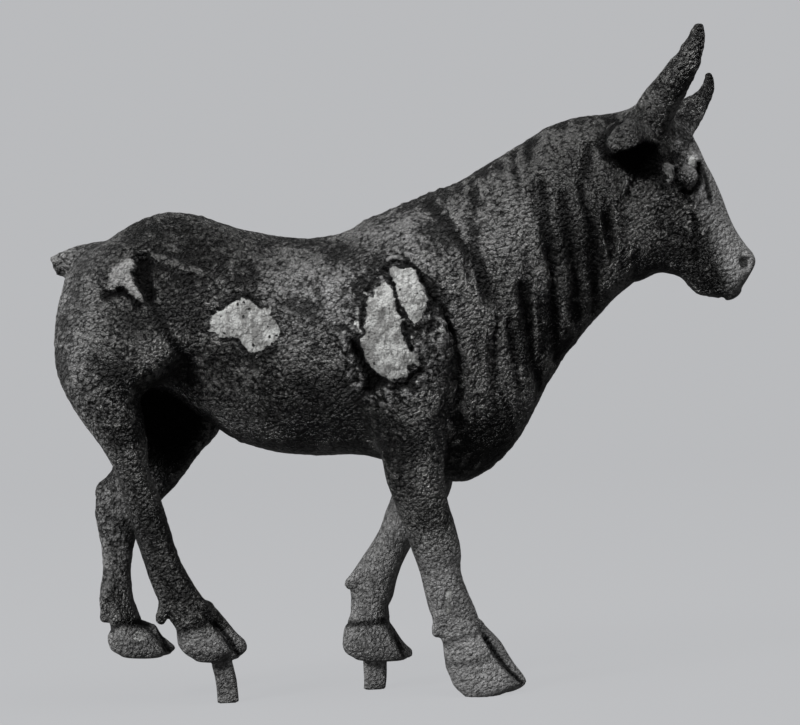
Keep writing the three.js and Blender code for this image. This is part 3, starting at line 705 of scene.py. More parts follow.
@dataclass
class Head:
    """Skull with horns, ears, eyes, nostrils and mouth.

    Attributes:
        rows: sections of skull and muzzle along the face.
        caps: lengths of the rounded ends of nape and muzzle.
        horns: the roll of each horn, right and left.
        ear: the roll of the left ear, which the right one mirrors.
        ear_hollow: the roll that hollows it.
        brow: the ball of a brow, (x, half spacing, z, radius).
        eye: the same of an eyeball.
        lid: radius, depth and width of the groove round the eyeball.
        nostril: the ball that hollows a nostril.
        mouth: the furrow of the mouth.
        starts: x from which the head is worked out.
        melt_brow: size of the fillet between brow and skull.
        melt_eye: the same for the eyeball.
        melt_horn: the same for a horn.
        melt_ear: the same for an ear.
        ear_rim: rounding of the rim of an ear's hollow.
        nostril_rim: the same for a nostril.
    """

    rows: Sequence[Row] = (
        (-5.5, -15, 9.5, 0, 10), (0, -18.5, 11.4, 0, 11.5), (5.5, -20.5, 11.3, 0, 12.4),
        (12, -22, 10.2, 0, 12.3), (17, -22.3, 9.6, 0, 11.6), (23, -22.3, 8.4, 0, 10.4),
        (28, -21.8, 7.1, 0, 9.4), (32, -18.8, 6.3, 0, 8.6), (36, -15.6, 6, 0, 7.9),
        (39.5, -15, 6.1, 0, 7.8), (42.6, -14.2, 6.3, 0, 8), (45.2, -12, 5, 0, 7.8),
        (47.4, -9.8, 0.8, 0, 7), (48.8, -8.6, -2.6, 0, 5.6),
    )
    caps: tuple[float, float] = (6, 1.4)
    horns: Sequence[Sequence[Row]] = (
        (
            (73.5, -4.5, 168, 6.8), (74.6, -7.5, 173, 6.4), (76.3, -11, 178, 5.6),
            (79.2, -15, 182.4, 5), (81.8, -17.5, 186.5, 4.5), (84, -19, 190.1, 3.8),
            (85.4, -19.6, 193.3, 3.2), (86.6, -20, 196.5, 2.5), (87.2, -20, 199.2, 1.8),
        ),
        (
            (80.5, 2.5, 169.5, 6.2), (84, 5.5, 174, 5.5), (87.5, 9.5, 177.6, 4.6),
            (90.9, 13, 180.8, 3.4), (93.6, 15.5, 184.1, 2.5), (94.9, 17, 187.4, 1.9),
            (94.9, 17.5, 189.8, 1.3),
        ),
    )
    ear: Sequence[Row] = (
        (75, 8, 166, 3.6), (69.6, 13, 167.3, 5.2), (65.8, 18.5, 166.7, 6.2), (64.4, 23, 165, 5),
        (63.8, 26, 163.4, 3),
    )
    ear_hollow: Sequence[Row] = (
        (76.5, 12, 162, 3), (72.5, 15, 161.4, 4.8), (68, 20.5, 160.6, 5.6), (65, 26, 159, 4.6),
        (64, 30, 158, 3.2),
    )
    brow: Row = (87, 8.4, 161.2, 2.6)
    eye: Row = (85.1, 10.4, 156.7, 3)
    lid: tuple[float, float, float] = (4, 0.5, 0.8)
    nostril: Row = (102.4, 5.4, 131.2, 1.9)
    mouth: Furrow = Furrow(((97, 121.2), (90.5, 131.5)), 0.9, 0.8)
    starts: float = 40
    melt_brow: float = 1.6
    melt_eye: float = 0.7
    melt_horn: float = 2.6
    melt_ear: float = 2
    ear_rim: float = 0.7
    nostril_rim: float = 1.2

    def __call__(self, points: Array) -> Array:
        """Distance from the head: forms melted on, and furrows and hollows taken out.

        Args:
            points: places, one a row.

        Returns:
            One distance for each place, FAR where the place is behind the head.
        """
        out = np.full(len(points), FAR)
        near = points[:, 0] > self.starts
        p = points[near]
        form = Ovals(self.rows, Course.FACEWISE, caps=self.caps)(p) + self.mouth(p)
        for side in (-1, 1):
            form = melt(form, self.ball(self.brow, side, p), self.melt_brow)
            reach = self.ball((*self.eye[:3], 0), side, p)
            ring, groove, width = self.lid
            form = form + groove * np.exp(-(((reach - ring) / width) ** 2))
            form = melt(form, reach - self.eye[3], self.melt_eye)
        for horn in self.horns:
            form = melt(form, Roll(horn)(p), self.melt_horn)
        for side in (-1, 1):
            ear, hollow = (
                Roll([(x, side * y, z, r) for x, y, z, r in beads])(p)
                for beads in (self.ear, self.ear_hollow)
            )
            form = melt(form, carve(ear, hollow, self.ear_rim), self.melt_ear)
            form = carve(form, self.ball(self.nostril, side, p), self.nostril_rim)
        out[near] = form
        return out

    def ear_hollow_shade(self, points: Array) -> Array:
        """How much points lie on the wall of an ear's hollow: the share of painted shade there,
        which stops short of the cheek.

        Args:
            points: places, one a row.

        Returns:
            A share from 0 to 1 for each place.
        """
        out = np.zeros(len(points))
        near = points[:, 0] > self.starts
        p = points[near] * (1, 0, 1) + np.abs(points[near]) * (0, 1, 0)
        out[near] = smoothstep(1.2, 0.3, Roll(self.ear_hollow)(p)) * smoothstep(78, 75, p[:, 0])
        return out

    @staticmethod
    def ball(row: Row, side: int, points: Array) -> Array:
        """Distance from a ball (x, half spacing, z, radius) on one side, -1 or 1."""
        x, y, z, r = row
        return np.linalg.norm(points - (x, side * y, z), axis=1) - r


@dataclass
class Casting:
    """The bull as one form, the same as that of the solid.

    Attributes:
        trunk: trunk, neck and tail.
        head: the head.
        legs: the four legs.
        folds: folds of the neck, edges of the shoulder, and last the edge of the thigh.
        fold_region: folds lie behind this x and above this z.
        inset: distance from the middle plane over which the folds grow to their full depth.
        fold_start: how much of that distance has no fold, as a share.
        fold_reach: distance from the surface within which folds are worked out.
        melt_leg: size of the fillet between a leg and the body.
        melt_head: size of the fillet between the head and the neck.
    """

    trunk: Trunk = field(default_factory=Trunk)
    head: Head = field(default_factory=Head)
    legs: Sequence[Leg] = field(
        default_factory=lambda: (right_hind(), left_hind(), right_fore(), left_fore())
    )
    folds: Sequence[Furrow] = (
        Furrow(((9, 149), (15.6, 140), (21, 132), (25.5, 120.5)), 2.1, 1.3),
        Furrow(((41, 154.5), (42.6, 146), (42.8, 138.5), (44.5, 129.5), (45.3, 120.5),
                (46.4, 103.5)), 1.9, 1.5),
        Furrow(((48, 150.5), (49.3, 140), (51.4, 128), (52.8, 116)), 2.2, 1.7),
        Furrow(((55.6, 165.6), (53.2, 153), (55.9, 141.6), (57.7, 129.6), (57.8, 117.6)), 2, 1.8),
        Furrow(((60.7, 144.6), (62.8, 133.5)), 1.6, 0.8),
        Furrow(((34.8, 123.6), (37.3, 116), (39.7, 100.5), (41.8, 94.5)), 1.9, 1.4),
        Furrow(((32, 113), (33.7, 102), (35, 94.5)), 1.8, 1),
        Furrow(((29, 124.5), (27.6, 99.6), (31.5, 87.6)), 1.8, 0.8),
        Furrow(((8.2, 125), (11.2, 118.5), (15.2, 111), (17, 100), (16.5, 84)), 2.4, 1.2),
        Furrow(((-80, 131), (-76.5, 121), (-70, 111), (-63, 101), (-59, 95)), 3.4, 1.1),
    )
    fold_region: tuple[float, float] = (66, 82)
    inset: float = 3.5
    fold_start: float = 0.4
    fold_reach: float = 6
    melt_leg: float = 5.5
    melt_head: float = 8

    def __call__(self, points: Array) -> Array:
        """Distance from the bull.

        The trunk is melted with the head. Each leg is melted with that, and the nearest of the
        four results counts, so that legs which cross stay apart. Folds are then cut in, fading
        out near the middle plane.

        Args:
            points: places, one a row.

        Returns:
            One distance for each place.
        """
        body = melt(self.trunk(points), self.head(points), self.melt_head)
        form = body
        for leg in self.legs:
            form = np.minimum(form, melt(body, leg(points), self.melt_leg))
        at = np.abs(form) < self.fold_reach
        form[at] += self.fold_depth(points[at])
        return form

    def fold_depth(self, points: Array) -> Array:
        """Depth of the folds at points, fading out near the middle plane.

        Args:
            points: places, one a row.

        Returns:
            One depth for each place.
        """
        end, above = self.fold_region
        out = np.zeros(len(points))
        at = (points[:, 0] < end) & (points[:, 2] > above)
        p = points[at]
        aside = np.clip(np.abs(p[:, 1]) / self.inset - self.fold_start, 0, 1)
        out[at] = aside * sum(fold(p) for fold in self.folds)
        return out


# Meshing.


def on_grid(form: Form, low: Array, step: float, shape: tuple[int, int, int]) -> Array:
    """Values of a form on a fine grid, worked out only where the surface can be.

    A coarse grid is worked out first, and each fine point starts with the value of its nearest
    coarse point. Where that is within REACH of the surface, the fine value is worked out.

    Args:
        form: the form.
        low: place of the grid's first point.
        step: step of the fine grid.
        shape: its number of points along each axis.

    Returns:
        The values, as an array of that shape.
    """

    def points(index: Array) -> Array:
        """Places of grid indices."""
        return low + index * step

    sizes = [n // COARSE + 2 for n in shape]
    index = np.stack(np.meshgrid(*map(np.arange, sizes), indexing="ij"), -1).reshape(-1, 3)
    values = form(points(index * COARSE)).reshape(sizes)
    nearest = [(np.arange(n) + COARSE // 2) // COARSE for n in shape]
    values = values[np.ix_(*nearest)]
    band = np.argwhere(np.abs(values) < REACH)
    values[tuple(band.T)] = form(points(band))
    return values


def fill_pinches(values: Array) -> None:
    """Moves grid points inside where the surface would pinch.

    That is where two inside corners of a face of the grid touch only across its diagonal. The
    outside corner that is nearer to the surface is moved, until no such face is left.

    Args:
        values: distances on the grid, changed in place.
    """
    unit = np.eye(3, dtype=int)
    changed = True
    while changed:
        changed = False
        for u, v in ((0, 1), (1, 2), (2, 0)):
            inside = values < 0
            corners = []
            for du, dv in ((0, 0), (1, 0), (1, 1), (0, 1)):
                key = [slice(None)] * 3
                key[u] = slice(du, values.shape[u] - 1 + du)
                key[v] = slice(dv, values.shape[v] - 1 + dv)
                corners.append(inside[tuple(key)])
            a, b, c, d = corners
            at = np.argwhere((a == c) & (b == d) & (a != b))
            if not len(at):
                continue
            changed = True
            four = np.stack([at, at + unit[u], at + unit[u] + unit[v], at + unit[v]], 1)
            depth = values[tuple(four.reshape(-1, 3).T)].reshape(-1, 4)
            depth[depth < 0] = FAR
            pick = four[np.arange(len(at)), depth.argmin(1)]
            values[tuple(pick.T)] = BELOW_ZERO


def surface_net(values: Array, low: Array, step: float) -> tuple[Array, Array]:
    """The zero surface of grid values.

    Each cell that the surface crosses has one vertex, at the mean of the crossings on its edges,
    and each grid edge that the surface crosses has one quad between the four cells round it.

    Args:
        values: distances on the grid.
        low: place of its first point.
        step: its step.

    Returns:
        The vertices, and the quads facing out.
    """
    inside = values < 0
    corners = np.array(list(np.ndindex(2, 2, 2)))
    size = np.array(values.shape) - 1
    count = np.zeros(size, int)
    for corner in corners:
        count += inside[tuple(slice(c, n + c) for c, n in zip(corner, size))]
    cells = np.argwhere((count > 0) & (count < 8))
    at = cells[:, None] + corners
    v = values[tuple(at.reshape(-1, 3).T)].reshape(-1, 8)
    total = np.zeros((len(cells), 3))
    crossings = np.zeros(len(cells))
    for a in range(8):
        for b in range(a + 1, 8):
            if np.abs(corners[a] - corners[b]).sum() != 1:
                continue
            crossed = (v[:, a] < 0) != (v[:, b] < 0)
            t = v[crossed, a] / (v[crossed, a] - v[crossed, b])
            total[crossed] += corners[a] + t[:, None] * (corners[b] - corners[a])
            crossings[crossed] += 1
    vertices = low + (cells + total / crossings[:, None]) * step
    number = np.full(size, -1)
    number[tuple(cells.T)] = np.arange(len(cells))
    quads = []
    for axis in range(3):
        u, w = (axis + 1) % 3, (axis + 2) % 3
        ends = [slice(None)] * 3
        ends[axis] = slice(1, None)
        starts = [slice(None)] * 3
        starts[axis] = slice(None, -1)
        edges = np.argwhere(inside[tuple(starts)] != inside[tuple(ends)])
        here = inside[tuple(edges.T)]
        ring = []
        for du, dw in ((-1, -1), (0, -1), (0, 0), (-1, 0)):
            cell = edges.copy()
            cell[:, u] += du
            cell[:, w] += dw
            ring.append(number[tuple(cell.T)])
        quad = np.stack(ring, 1)
        quads.append(np.where(here[:, None], quad, quad[:, ::-1]))
    return vertices, np.vstack(quads)


def gradient(form: Form, points: Array, step: float = 0.05) -> tuple[Array, Array]:
    """Values of a form and its steepest way outwards, from differences over a small step."""
    value = form(points)
    return value, np.stack([form(points + step * axis) - value for axis in np.eye(3)], 1) / step


def settle(form: Form, points: Array, rounds: int = 2) -> tuple[Array, Array]:
    """Moves points onto the zero surface.

    Each round steps along the gradient by value over its squared length.

    Args:
        form: the form.
        points: places near its surface, one a row.
        rounds: how many steps are taken.

    Returns:
        The points and the outward normals there.
    """
    for _ in range(rounds):
        value, slope = gradient(form, points)
        step = value / np.maximum((slope**2).sum(1), LEAST_SLOPE)
        points = points - np.clip(step, -LONGEST_STEP, LONGEST_STEP)[:, None] * slope
    slope = gradient(form, points)[1]
    return points, slope / np.linalg.norm(slope, axis=1)[:, None]


def mesh_object(name: str, vertices: Array, faces: Array) -> bpy.types.Object:
    """A smooth-shaded object at the origin.

    Args:
        name: its name.
        vertices: its places in metres, one a row.
        faces: the corners of its faces, one a row.

    Returns:
        The object, in the scene.
    """
    mesh = bpy.data.meshes.new(name)
    count, sides = faces.shape
    mesh.vertices.add(len(vertices))
    mesh.vertices.foreach_set("co", np.ascontiguousarray(vertices, np.float32).ravel())
    mesh.loops.add(count * sides)
    mesh.loops.foreach_set("vertex_index", faces.astype(np.int32).ravel())
    mesh.polygons.add(count)
    mesh.polygons.foreach_set("loop_start", np.arange(0, count * sides, sides, dtype=np.int32))
    mesh.polygons.foreach_set("use_smooth", np.ones(count, bool))
    mesh.update(calc_edges=True)
    mesh.validate()
    made = bpy.data.objects.new(name, mesh)
    bpy.context.scene.collection.objects.link(made)
    return made


# The crust and its damage.


SHARES = ("bare", "shade_in_hollows", "dust_and_sheen", "shade_spots", "calm", "relief")  # what the finish reads at each vertex


@dataclass
class WearAndShading:
    """What time has left at points of the surface, and the painted shade and light laid on it,
    in shares from 0 to 1 but for the height.

    Attributes:
        points: the places.
        near: 1 on the side that faces the eye, fading to 0 towards the back and belly.
        height: relief in millimetres.
        bare: how bare the metal is.
        shade_in_hollows: share of painted shade at the point, in cracks, creases and hollows.
        dust_and_sheen: how grey and dull the crust is, partly real and partly painted sheen on lit
            places.
        shade_spots: share of painted shade in spots.
        calm: how calm its grain is.
        relief_range: height from the lowest relief to the highest that the finish tells apart.
    """

    points: Array
    near: Array
    height: Array
    bare: Array
    shade_in_hollows: Array
    dust_and_sheen: Array
    shade_spots: Array
    calm: Array
    relief_range: float = 0.9

    @property
    def relief(self) -> Array:
        """The height as a share, which is a half where the height is 0."""
        return np.clip(self.height / self.relief_range + 0.5, 0, 1)


@dataclass
class Crust:
    """Relief that corrosion, flaking and wear leave on the casting, on top of the form, and the
    painted shade and light laid on it.

    Attributes:
        grain: height of the fine grain all over.
        lumps: height of the broad unevenness.
        wrinkle: height of the fine wrinkles of the neck.
        crease: half width, greatest depth and share of the crease along each fold.
        plates: the two bright plates of bare metal on the shoulder.
        plate_rise: how far they stand up.
        plate_ripple: height of their streaks.
        streaks: matrix that draws the streaks out.
        rim_depth: depth of the line round them.
        wound: the ragged hollow that they lie in.
        wound_lumps: height of the crumbs in it.
        cavity: the sunken pocket below them, which painted shade fills.
        cavity_depth: its depth.
        cracks: cracks of the shoulder, with painted shade in them.
        flake: the flaked place on the flank.
        flake_sink: how far it lies lower.
        flake_ripple: height of its unevenness.
        flake_rim: cracks round it.
        hip_leaf: the torn leaf of metal on the hip.
        leaf_rise: how far it stands up.
        hip_wedge: the pocket before it.
        wedge_depth: its depth.
        hip_cracks: furrows below it and along the haunch.
        hip_ridge: the raised line that runs forward from it.
        face_cracks: creases round the eye and on the cheek.
        hoof_lines: clefts between the claws and edges of the hooves, on the near side of each leg.
        chips: small bare places, each with its height.
        tall_chip: height from which a chip is less bare.
        shin: smooth worn spots of the legs, each a middle and two radii in the side view.
        shade_spots: spots of painted shade, each a middle, two radii and a share.
        grey_and_lit: lighter spots of painted sheen, given in the same way.
    """

    grain: float = 0.22
    lumps: float = 0.3
    wrinkle: float = 0.5
    crease: tuple[float, float, float] = (0.5, 1.2, 0.9)
    plate_rise: float = 0.3
    plate_ripple: float = 0.07
    rim_depth: float = 0.6
    wound_lumps: float = 0.34
    cavity_depth: float = 1.9
    flake_sink: float = 0.2
    flake_ripple: float = 0.05
    leaf_rise: float = 1.1
    wedge_depth: float = 2.2
    tall_chip: float = 0.5
    plates: Sequence[Patch] = (
        Patch(
            ((-4.1, 125.6), (-2.6, 123.6), (-1.8, 121.2), (-0.9, 118.3), (0, 115.4), (0.7, 113.1),
             (0.5, 110.2), (1.8, 107.5), (2.8, 105.2), (4.7, 104.8), (6.4, 102.6), (5.8, 100.5),
             (3.5, 101.9), (1.9, 100.8), (2.6, 97.6), (0, 97.2), (-2.9, 96.5), (-4.7, 97.9),
             (-7.6, 99.7), (-9.9, 102.6), (-11.1, 106.1), (-11.1, 109), (-10.2, 111.3),
             (-10.5, 114.2), (-9.6, 116.6), (-9.9, 118.9), (-9, 120.7), (-7.6, 121.2), (-6.7, 123),
             (-5.8, 124.5)), 0.7, 2, 11),
        Patch(
            ((-3.2, 129.1), (-1.8, 130), (1.2, 129.7), (3.5, 129.1), (5.2, 127.5), (5.8, 125.3),
             (7, 123), (8.2, 120.1), (7.3, 116.6), (6.3, 114.2), (4.2, 113.1), (2.8, 114.2),
             (1.5, 116.6), (0.3, 118.9), (-0.6, 121.2), (-1.8, 124.2), (-2.6, 126.5)), 0.7, 2, 12),
    )
    wound: Patch = Patch(
        ((-6, 129.5), (-1, 133), (4.5, 132), (8.5, 127), (12, 120), (14, 113), (12, 106), (9, 99),
         (3, 94), (-6, 91.5), (-13.5, 96), (-15.5, 106), (-14.2, 114), (-13.5, 121.5),
         (-10, 126)), 1, 4, 13)
    cavity: Patch = Patch(
        ((-14.3, 108.4), (-11.9, 108.6), (-11.2, 105.6), (-10, 101.8), (-7.4, 98.8), (-4.5, 97),
         (-2.9, 96.2), (-5.8, 95.2), (-7.6, 94.2), (-9, 92.4), (-10.8, 93.8), (-9.9, 97.6),
         (-11.6, 101), (-13.6, 104.5)),
        0.6, 2, 14)
    cracks: Sequence[Furrow] = (
        Furrow(((-4.2, 129.6), (-2.9, 126.9), (-1.9, 124.2), (-1.2, 120.6), (-0.3, 117.4),
                (0.9, 114.4), (1.6, 111.2), (2.4, 108.2), (3.4, 105.8)), 0.42, 1.3),
        Furrow(((-12, 121.8), (-9.9, 123), (-8.2, 124.7), (-7, 126.8), (-5.2, 129.1)), 0.4, 0.9),
        Furrow(((-5.2, 129.1), (-2.9, 131), (0, 131.6), (2.9, 130.3), (5.4, 128.4),
                (7, 125)), 0.4, 0.9),
        Furrow(((5.4, 128.4), (7.2, 125.4), (9.2, 121.9), (11.8, 118.7), (14, 114.4),
                (15.4, 110.6)), 0.5, 1),
        Furrow(((-11, 120.6), (-10.7, 117.4), (-11.4, 113.6)), 0.4, 0.8),
        Furrow(((2.8, 112.6), (4.6, 111.8), (6.6, 112.2)), 0.5, 0.9),
        Furrow(((-1.5, 96), (2.4, 96), (4.4, 98.6), (6.6, 99.8)), 0.5, 1.2),
        Furrow(((9.4, 119), (9.6, 114), (8, 109)), 0.5, 0.9),
        Furrow(((-8.6, 110.5), (-6, 107.4), (-3.4, 105.8), (-1.6, 102.6)), 0.35, 0.5),
        Furrow(((-6.4, 121), (-5.4, 117), (-5.8, 113.5)), 0.3, 0.4),
        Furrow(((2.2, 126), (4, 122.4), (4.4, 118)), 0.3, 0.4),
    )
    flake: Patch = Patch(
        ((-55.5, 111), (-54.6, 115), (-51.5, 117.4), (-48.9, 119), (-45.1, 120.8), (-42.5, 119),
         (-40.5, 117.6), (-37.6, 118), (-36.8, 114.8), (-35, 111.4), (-35.6, 108.6), (-38, 106),
         (-40.6, 105.4), (-43.3, 104.6), (-45.7, 106.6), (-47.1, 109.3),
         (-51.8, 109.3)), 0.7, 2.4, 15)
    flake_rim: Sequence[Furrow] = (
        Furrow(((-54.5, 116), (-50.5, 119), (-46.2, 121.6), (-43.4, 120.4),
                (-41, 118.6)), 0.5, 0.9),
        Furrow(((-40.6, 104), (-37.5, 104.4), (-35, 107.4)), 0.6, 0.7),
        Furrow(((-51.5, 108.7), (-47.6, 108.7), (-45.6, 105.8)), 0.5, 0.6),
    )
    hip_leaf: Patch = Patch(
        ((-84, 126.8), (-82.7, 129.4), (-80.7, 130.3), (-79.4, 131.4), (-77.9, 131.2), (-77, 130.1),
         (-77.3, 128.8), (-78.2, 129.1), (-78.4, 128), (-78, 126.5), (-77.4, 125), (-76.3, 123),
         (-74.8, 120.6), (-76.1, 120.3), (-78.1, 122.2), (-79.5, 123.6), (-80.3, 124.8),
         (-81.8, 124.3), (-83.2, 123), (-84.5, 123.4), (-83.2, 125.1)), 0.2, 2, 16)
    hip_wedge: Patch = Patch(
        ((-77.1, 133.8), (-72.9, 133.6), (-71.8, 130), (-72.1, 126.1), (-71.3, 121.5),
         (-72.1, 118.4), (-74, 119.4), (-74.9, 121.6), (-76.2, 123.9), (-77.3, 125.6),
         (-77.9, 126.9), (-78, 128.2), (-77, 128.9), (-76.7, 130.3), (-77.5, 131.8)), 0.4, 2.4, 17)
    hip_cracks: Sequence[Furrow] = (
        Furrow(((-85.4, 121.4), (-82.9, 122.4), (-79.6, 122.6), (-77.7, 121),
                (-76, 118.8)), 1, 1.5),
        Furrow(((-72.5, 120), (-69, 112.5), (-64.5, 106), (-60, 101)), 1.1, 0.8),
        Furrow(((-72, 131), (-68, 129), (-64.6, 127.6), (-60.8, 127.6)), 0.8, 0.9),
    )
    hip_ridge: Furrow = Furrow(((-72.9, 133), (-69, 131.8), (-65.2, 130.8), (-62.1, 129.4),
                                (-58.7, 129)), 0.9, 1)
    face_cracks: Sequence[Furrow] = (
        Furrow(((88.2, 160.2), (89, 157.1), (87.8, 153.7), (85.5, 152.2), (83.3, 152.7)), 0.6, 1),
        Furrow(((81.4, 158.8), (81.2, 156), (82, 154)), 0.4, 0.5),
        Furrow(((89.6, 161.5), (91, 156), (92.4, 150)), 0.6, 0.4),
        Furrow(((86.9, 145.6), (87.8, 139), (87.4, 133.2)), 0.8, 0.6),
        Furrow(((69, 156.4), (67.4, 152.9), (66, 150.4)), 0.5, 0.8),
        Furrow(((64.5, 172.5), (61.8, 170.3), (59.4, 166.6), (60.2, 162.6), (63, 160)), 0.7, 1),
        Furrow(((90.6, 123.2), (92, 126.4)), 0.6, 0.8),
    )
    hoof_lines: Sequence[Furrow] = (
        Furrow(((24.6, 21.5), (28.7, 14.9), (32.8, 10), (36.1, 7)), 0.4, 0.8),
        Furrow(((13.4, 13.6), (18.7, 13.2), (25.4, 14.9), (28, 17)), 0.8, 0.16),
        Furrow(((13.4, 19), (18, 20.9), (24, 22.6)), 0.9, 0.2),
        Furrow(((-57.9, 26.8), (-54, 23), (-50.7, 18.9), (-48.3, 14.8)), 0.4, 0.8),
        Furrow(((-66, 22), (-61, 23.4), (-57, 25.6)), 1, 0.3),
        Furrow(((-73.4, 21.4), (-71.4, 17.5), (-69.8, 14.5)), 0.4, 0.7),
        Furrow(((-88.5, 20.8), (-84, 23.3), (-79, 23.4), (-76, 22.4)), 0.7, 0.6),
        Furrow(((-2, 21.5), (-0.6, 17), (1.4, 13)), 0.4, 0.7),
        Furrow(((-16.8, 22.6), (-11, 22.9), (-5, 23.4)), 0.8, 0.45),
    )
    chips: Sequence[tuple[Patch, float]] = (
        (
            Patch(
                ((76.4, 160.1), (77.3, 158.3), (78.5, 157.6), (78.5, 154.8), (80.2, 154.5),
                 (80.8, 158), (81.7, 160.4), (79.1, 160.7)), 0.25, 1.6, 18),
            0.4,
        ),
        (
            Patch(
                ((85.3, 162.2), (86.4, 163.1), (88.5, 162.2), (88.5, 159.8), (86.4, 159.8),
                 (85, 160.7)), 0.25, 1.6, 19),
            0.12,
        ),
        (Patch(((66.2, 157), (68.3, 156.6), (67, 153.4), (65.2, 152)), 0.3, 1.6, 20), 0.6),
        (Patch(((-13.1, 117), (-12, 117.8), (-11.6, 114.2), (-12, 110.6),
                (-13.2, 112)), 0.3, 1.6, 30), 0.3),
        (Patch(((-10.8, 122.8), (-9.3, 122.6), (-9.5, 121.4), (-10.9, 121.6)), 0.3, 1.6, 34), 0.3),
        (Patch(((-9.4, 96.4), (-7.8, 96), (-6.6, 94.8), (-7.4, 94),
                (-9.2, 94.8)), 0.3, 1.6, 35), 0.3),
    )
    # Spots of painted shade, where the bull turns from the light: neck, ear, chest, belly, legs,
    # rump and back.
    shade_spots: Sequence[Row] = (
        (53, 134, 12, 28, 0.85),
        (28, 104, 14, 18, 0.45),
        (64, 166, 10, 9, 0.5),
        (42, 160, 14, 12, 0.35),
        (-75, 50, 9, 24, 0.85),
        (-57, 6, 6, 8, 0.4),
        (-20, 84, 34, 9, 0.5),
        (34, 90, 14, 12, 0.35),
        (33, 124, 10, 16, 0.4),
        (10, 80, 8, 12, 0.3),
        (-84, 112, 18, 24, 0.18),
        (-62, 141, 22, 9, 0.25),
        (20, 148, 12, 10, 0.15),
    )
    grey_and_lit: Sequence[Row] = (
        (-20, 121, 23, 13, 0.95),
        (4, 139, 22, 13, 0.65),
        (9, 113, 10, 13, 0.6),
        (30, 142, 12, 16, 0.4),
    )
    streaks: Sequence[Row] = ((0.9, 0, 0.3), (0, 1, 0), (0.5, 0, -0.2))
    shin: Sequence[tuple[Row, Row]] = (
        ((14.3, 32.5), (1.4, 4.6)), ((7.4, 51.4), (1.8, 3.4)), ((-78.4, 19.6), (3, 2.6)),
    )

    def wear(self, points: Array, casting: Casting) -> WearAndShading:
        """Relief, wear and painted shade and light at points of the surface, one kind of damage
        after another.

        Args:
            points: places on the form.
            casting: the form.

        Returns:
            What is left there.
        """
        calm = self.calmness(points)
        wear = WearAndShading(
            points=points,
            near=smoothstep(-3, -8, points[:, 1]),
            height=self.grained(points, calm),
            bare=np.zeros(len(points)),
            shade_in_hollows=np.zeros(len(points)),
            dust_and_sheen=self.dust_and_sheen(points),
            shade_spots=self.spots(self.shade_spots, points),
            calm=calm,
        )
        self.fold_neck(wear, casting)
        self.darken_hidden(wear, casting)
        self.wound_shoulder(wear)
        self.flake_flank(wear)
        self.tear_hip(wear)
        self.cut_lines(wear)
        self.chip(wear)
        self.polish_shins(wear)
        wear.bare = wear.bare * (1 - wear.shade_in_hollows)
        return wear

    def grained(self, points: Array, calm: Array) -> Array:
        """Height of the grain and of the broad unevenness, both less where the crust is calm.

        Args:
            points: places on the form.
            calm: how calm the grain is there.

        Returns:
            The height in millimetres.
        """
        patchy = 0.7 + 0.7 * rough(points, 26, 37, 2)
        height = self.grain * patchy * (1 - calm) * self.lumpy(points, 3.2, 1)
        return height + self.lumps * (1 - calm) * rough(points, 13, 7, 2)

    def fold_neck(self, wear: WearAndShading, casting: Casting) -> None:
        """Adds wrinkles, and a narrow crease along each fold that noise fades and breaks.

        Painted shade darkens the line of a crease and the bottom of the fold. The last of the
        casting's folds is the edge of the thigh, which has no crease.

        Args:
            wear: what is left so far, changed in place.
            casting: the form, with its folds.
        """
        points, aside = wear.points, np.abs(wear.points[:, 1])
        folds = casting.fold_depth(points) * smoothstep(-52, -30, points[:, 0])
        wear.height += self.wrinkle * self.wrinkles(points) - 0.2 * folds
        width, most, share = self.crease
        narrow = [Furrow(fold.through, width, min(fold.depth, most)) for fold in casting.folds[:-1]]
        creases = self.cut([fold.tapered for fold in narrow], points, smoothstep(1.5, 6, aside))
        fade = smoothstep(-0.5, 0.35, rough(points, 15, 43, 1))
        wear.height -= share * creases * (0.35 + 0.65 * fade)
        broken = smoothstep(-0.45, 0.25, rough(points, 4.5, 41, 3)) * (0.3 + 0.7 * fade)
        line = 0.55 * smoothstep(0.45, 1.1, creases) * broken
        # Painted shade on the crease lines and in the bottoms of the folds.
        wear.shade_in_hollows = np.maximum(line, 0.3 * smoothstep(0.4, 1.6, folds))

    @staticmethod
    def darken_hidden(wear: WearAndShading, casting: Casting) -> None:
        """Darkens what light hardly reaches: between the thighs, and the hollows of the ears.

        Args:
            wear: what is left so far, changed in place.
            casting: the form, with its ears.
        """
        x, y, z = wear.points.T
        thighs = smoothstep(-86, -78, x) * smoothstep(-46, -54, x)
        thighs = thighs * smoothstep(66, 74, z) * smoothstep(98, 91, z)
        between = 0.85 * thighs * smoothstep(10, 7, np.abs(y))
        wear.shade_in_hollows = np.max([wear.shade_in_hollows, between, casting.head.ear_hollow_shade(wear.points)], axis=0)

    def wound_shoulder(self, wear: WearAndShading) -> None:
        """Adds the shoulder's wound with crumbs in it, its two plates, the cavity and the cracks.

        Args:
            wear: what is left so far, changed in place.
        """
        points, near = wear.points, wear.near
        edge = self.wound(points)
        around = near * smoothstep(4.5, 0.5, edge)
        lumps = self.lumpy(points, 2.6, 21)
        wear.height += self.wound_lumps * around * lumps
        # Painted shade between the crumbs.
        wear.shade_in_hollows = np.maximum(wear.shade_in_hollows, 0.5 * around * smoothstep(-0.5, -0.9, lumps))
        wear.bare = 0.47 * near * smoothstep(0.5, -0.5, edge) * smoothstep(-0.1, 0.5, lumps)
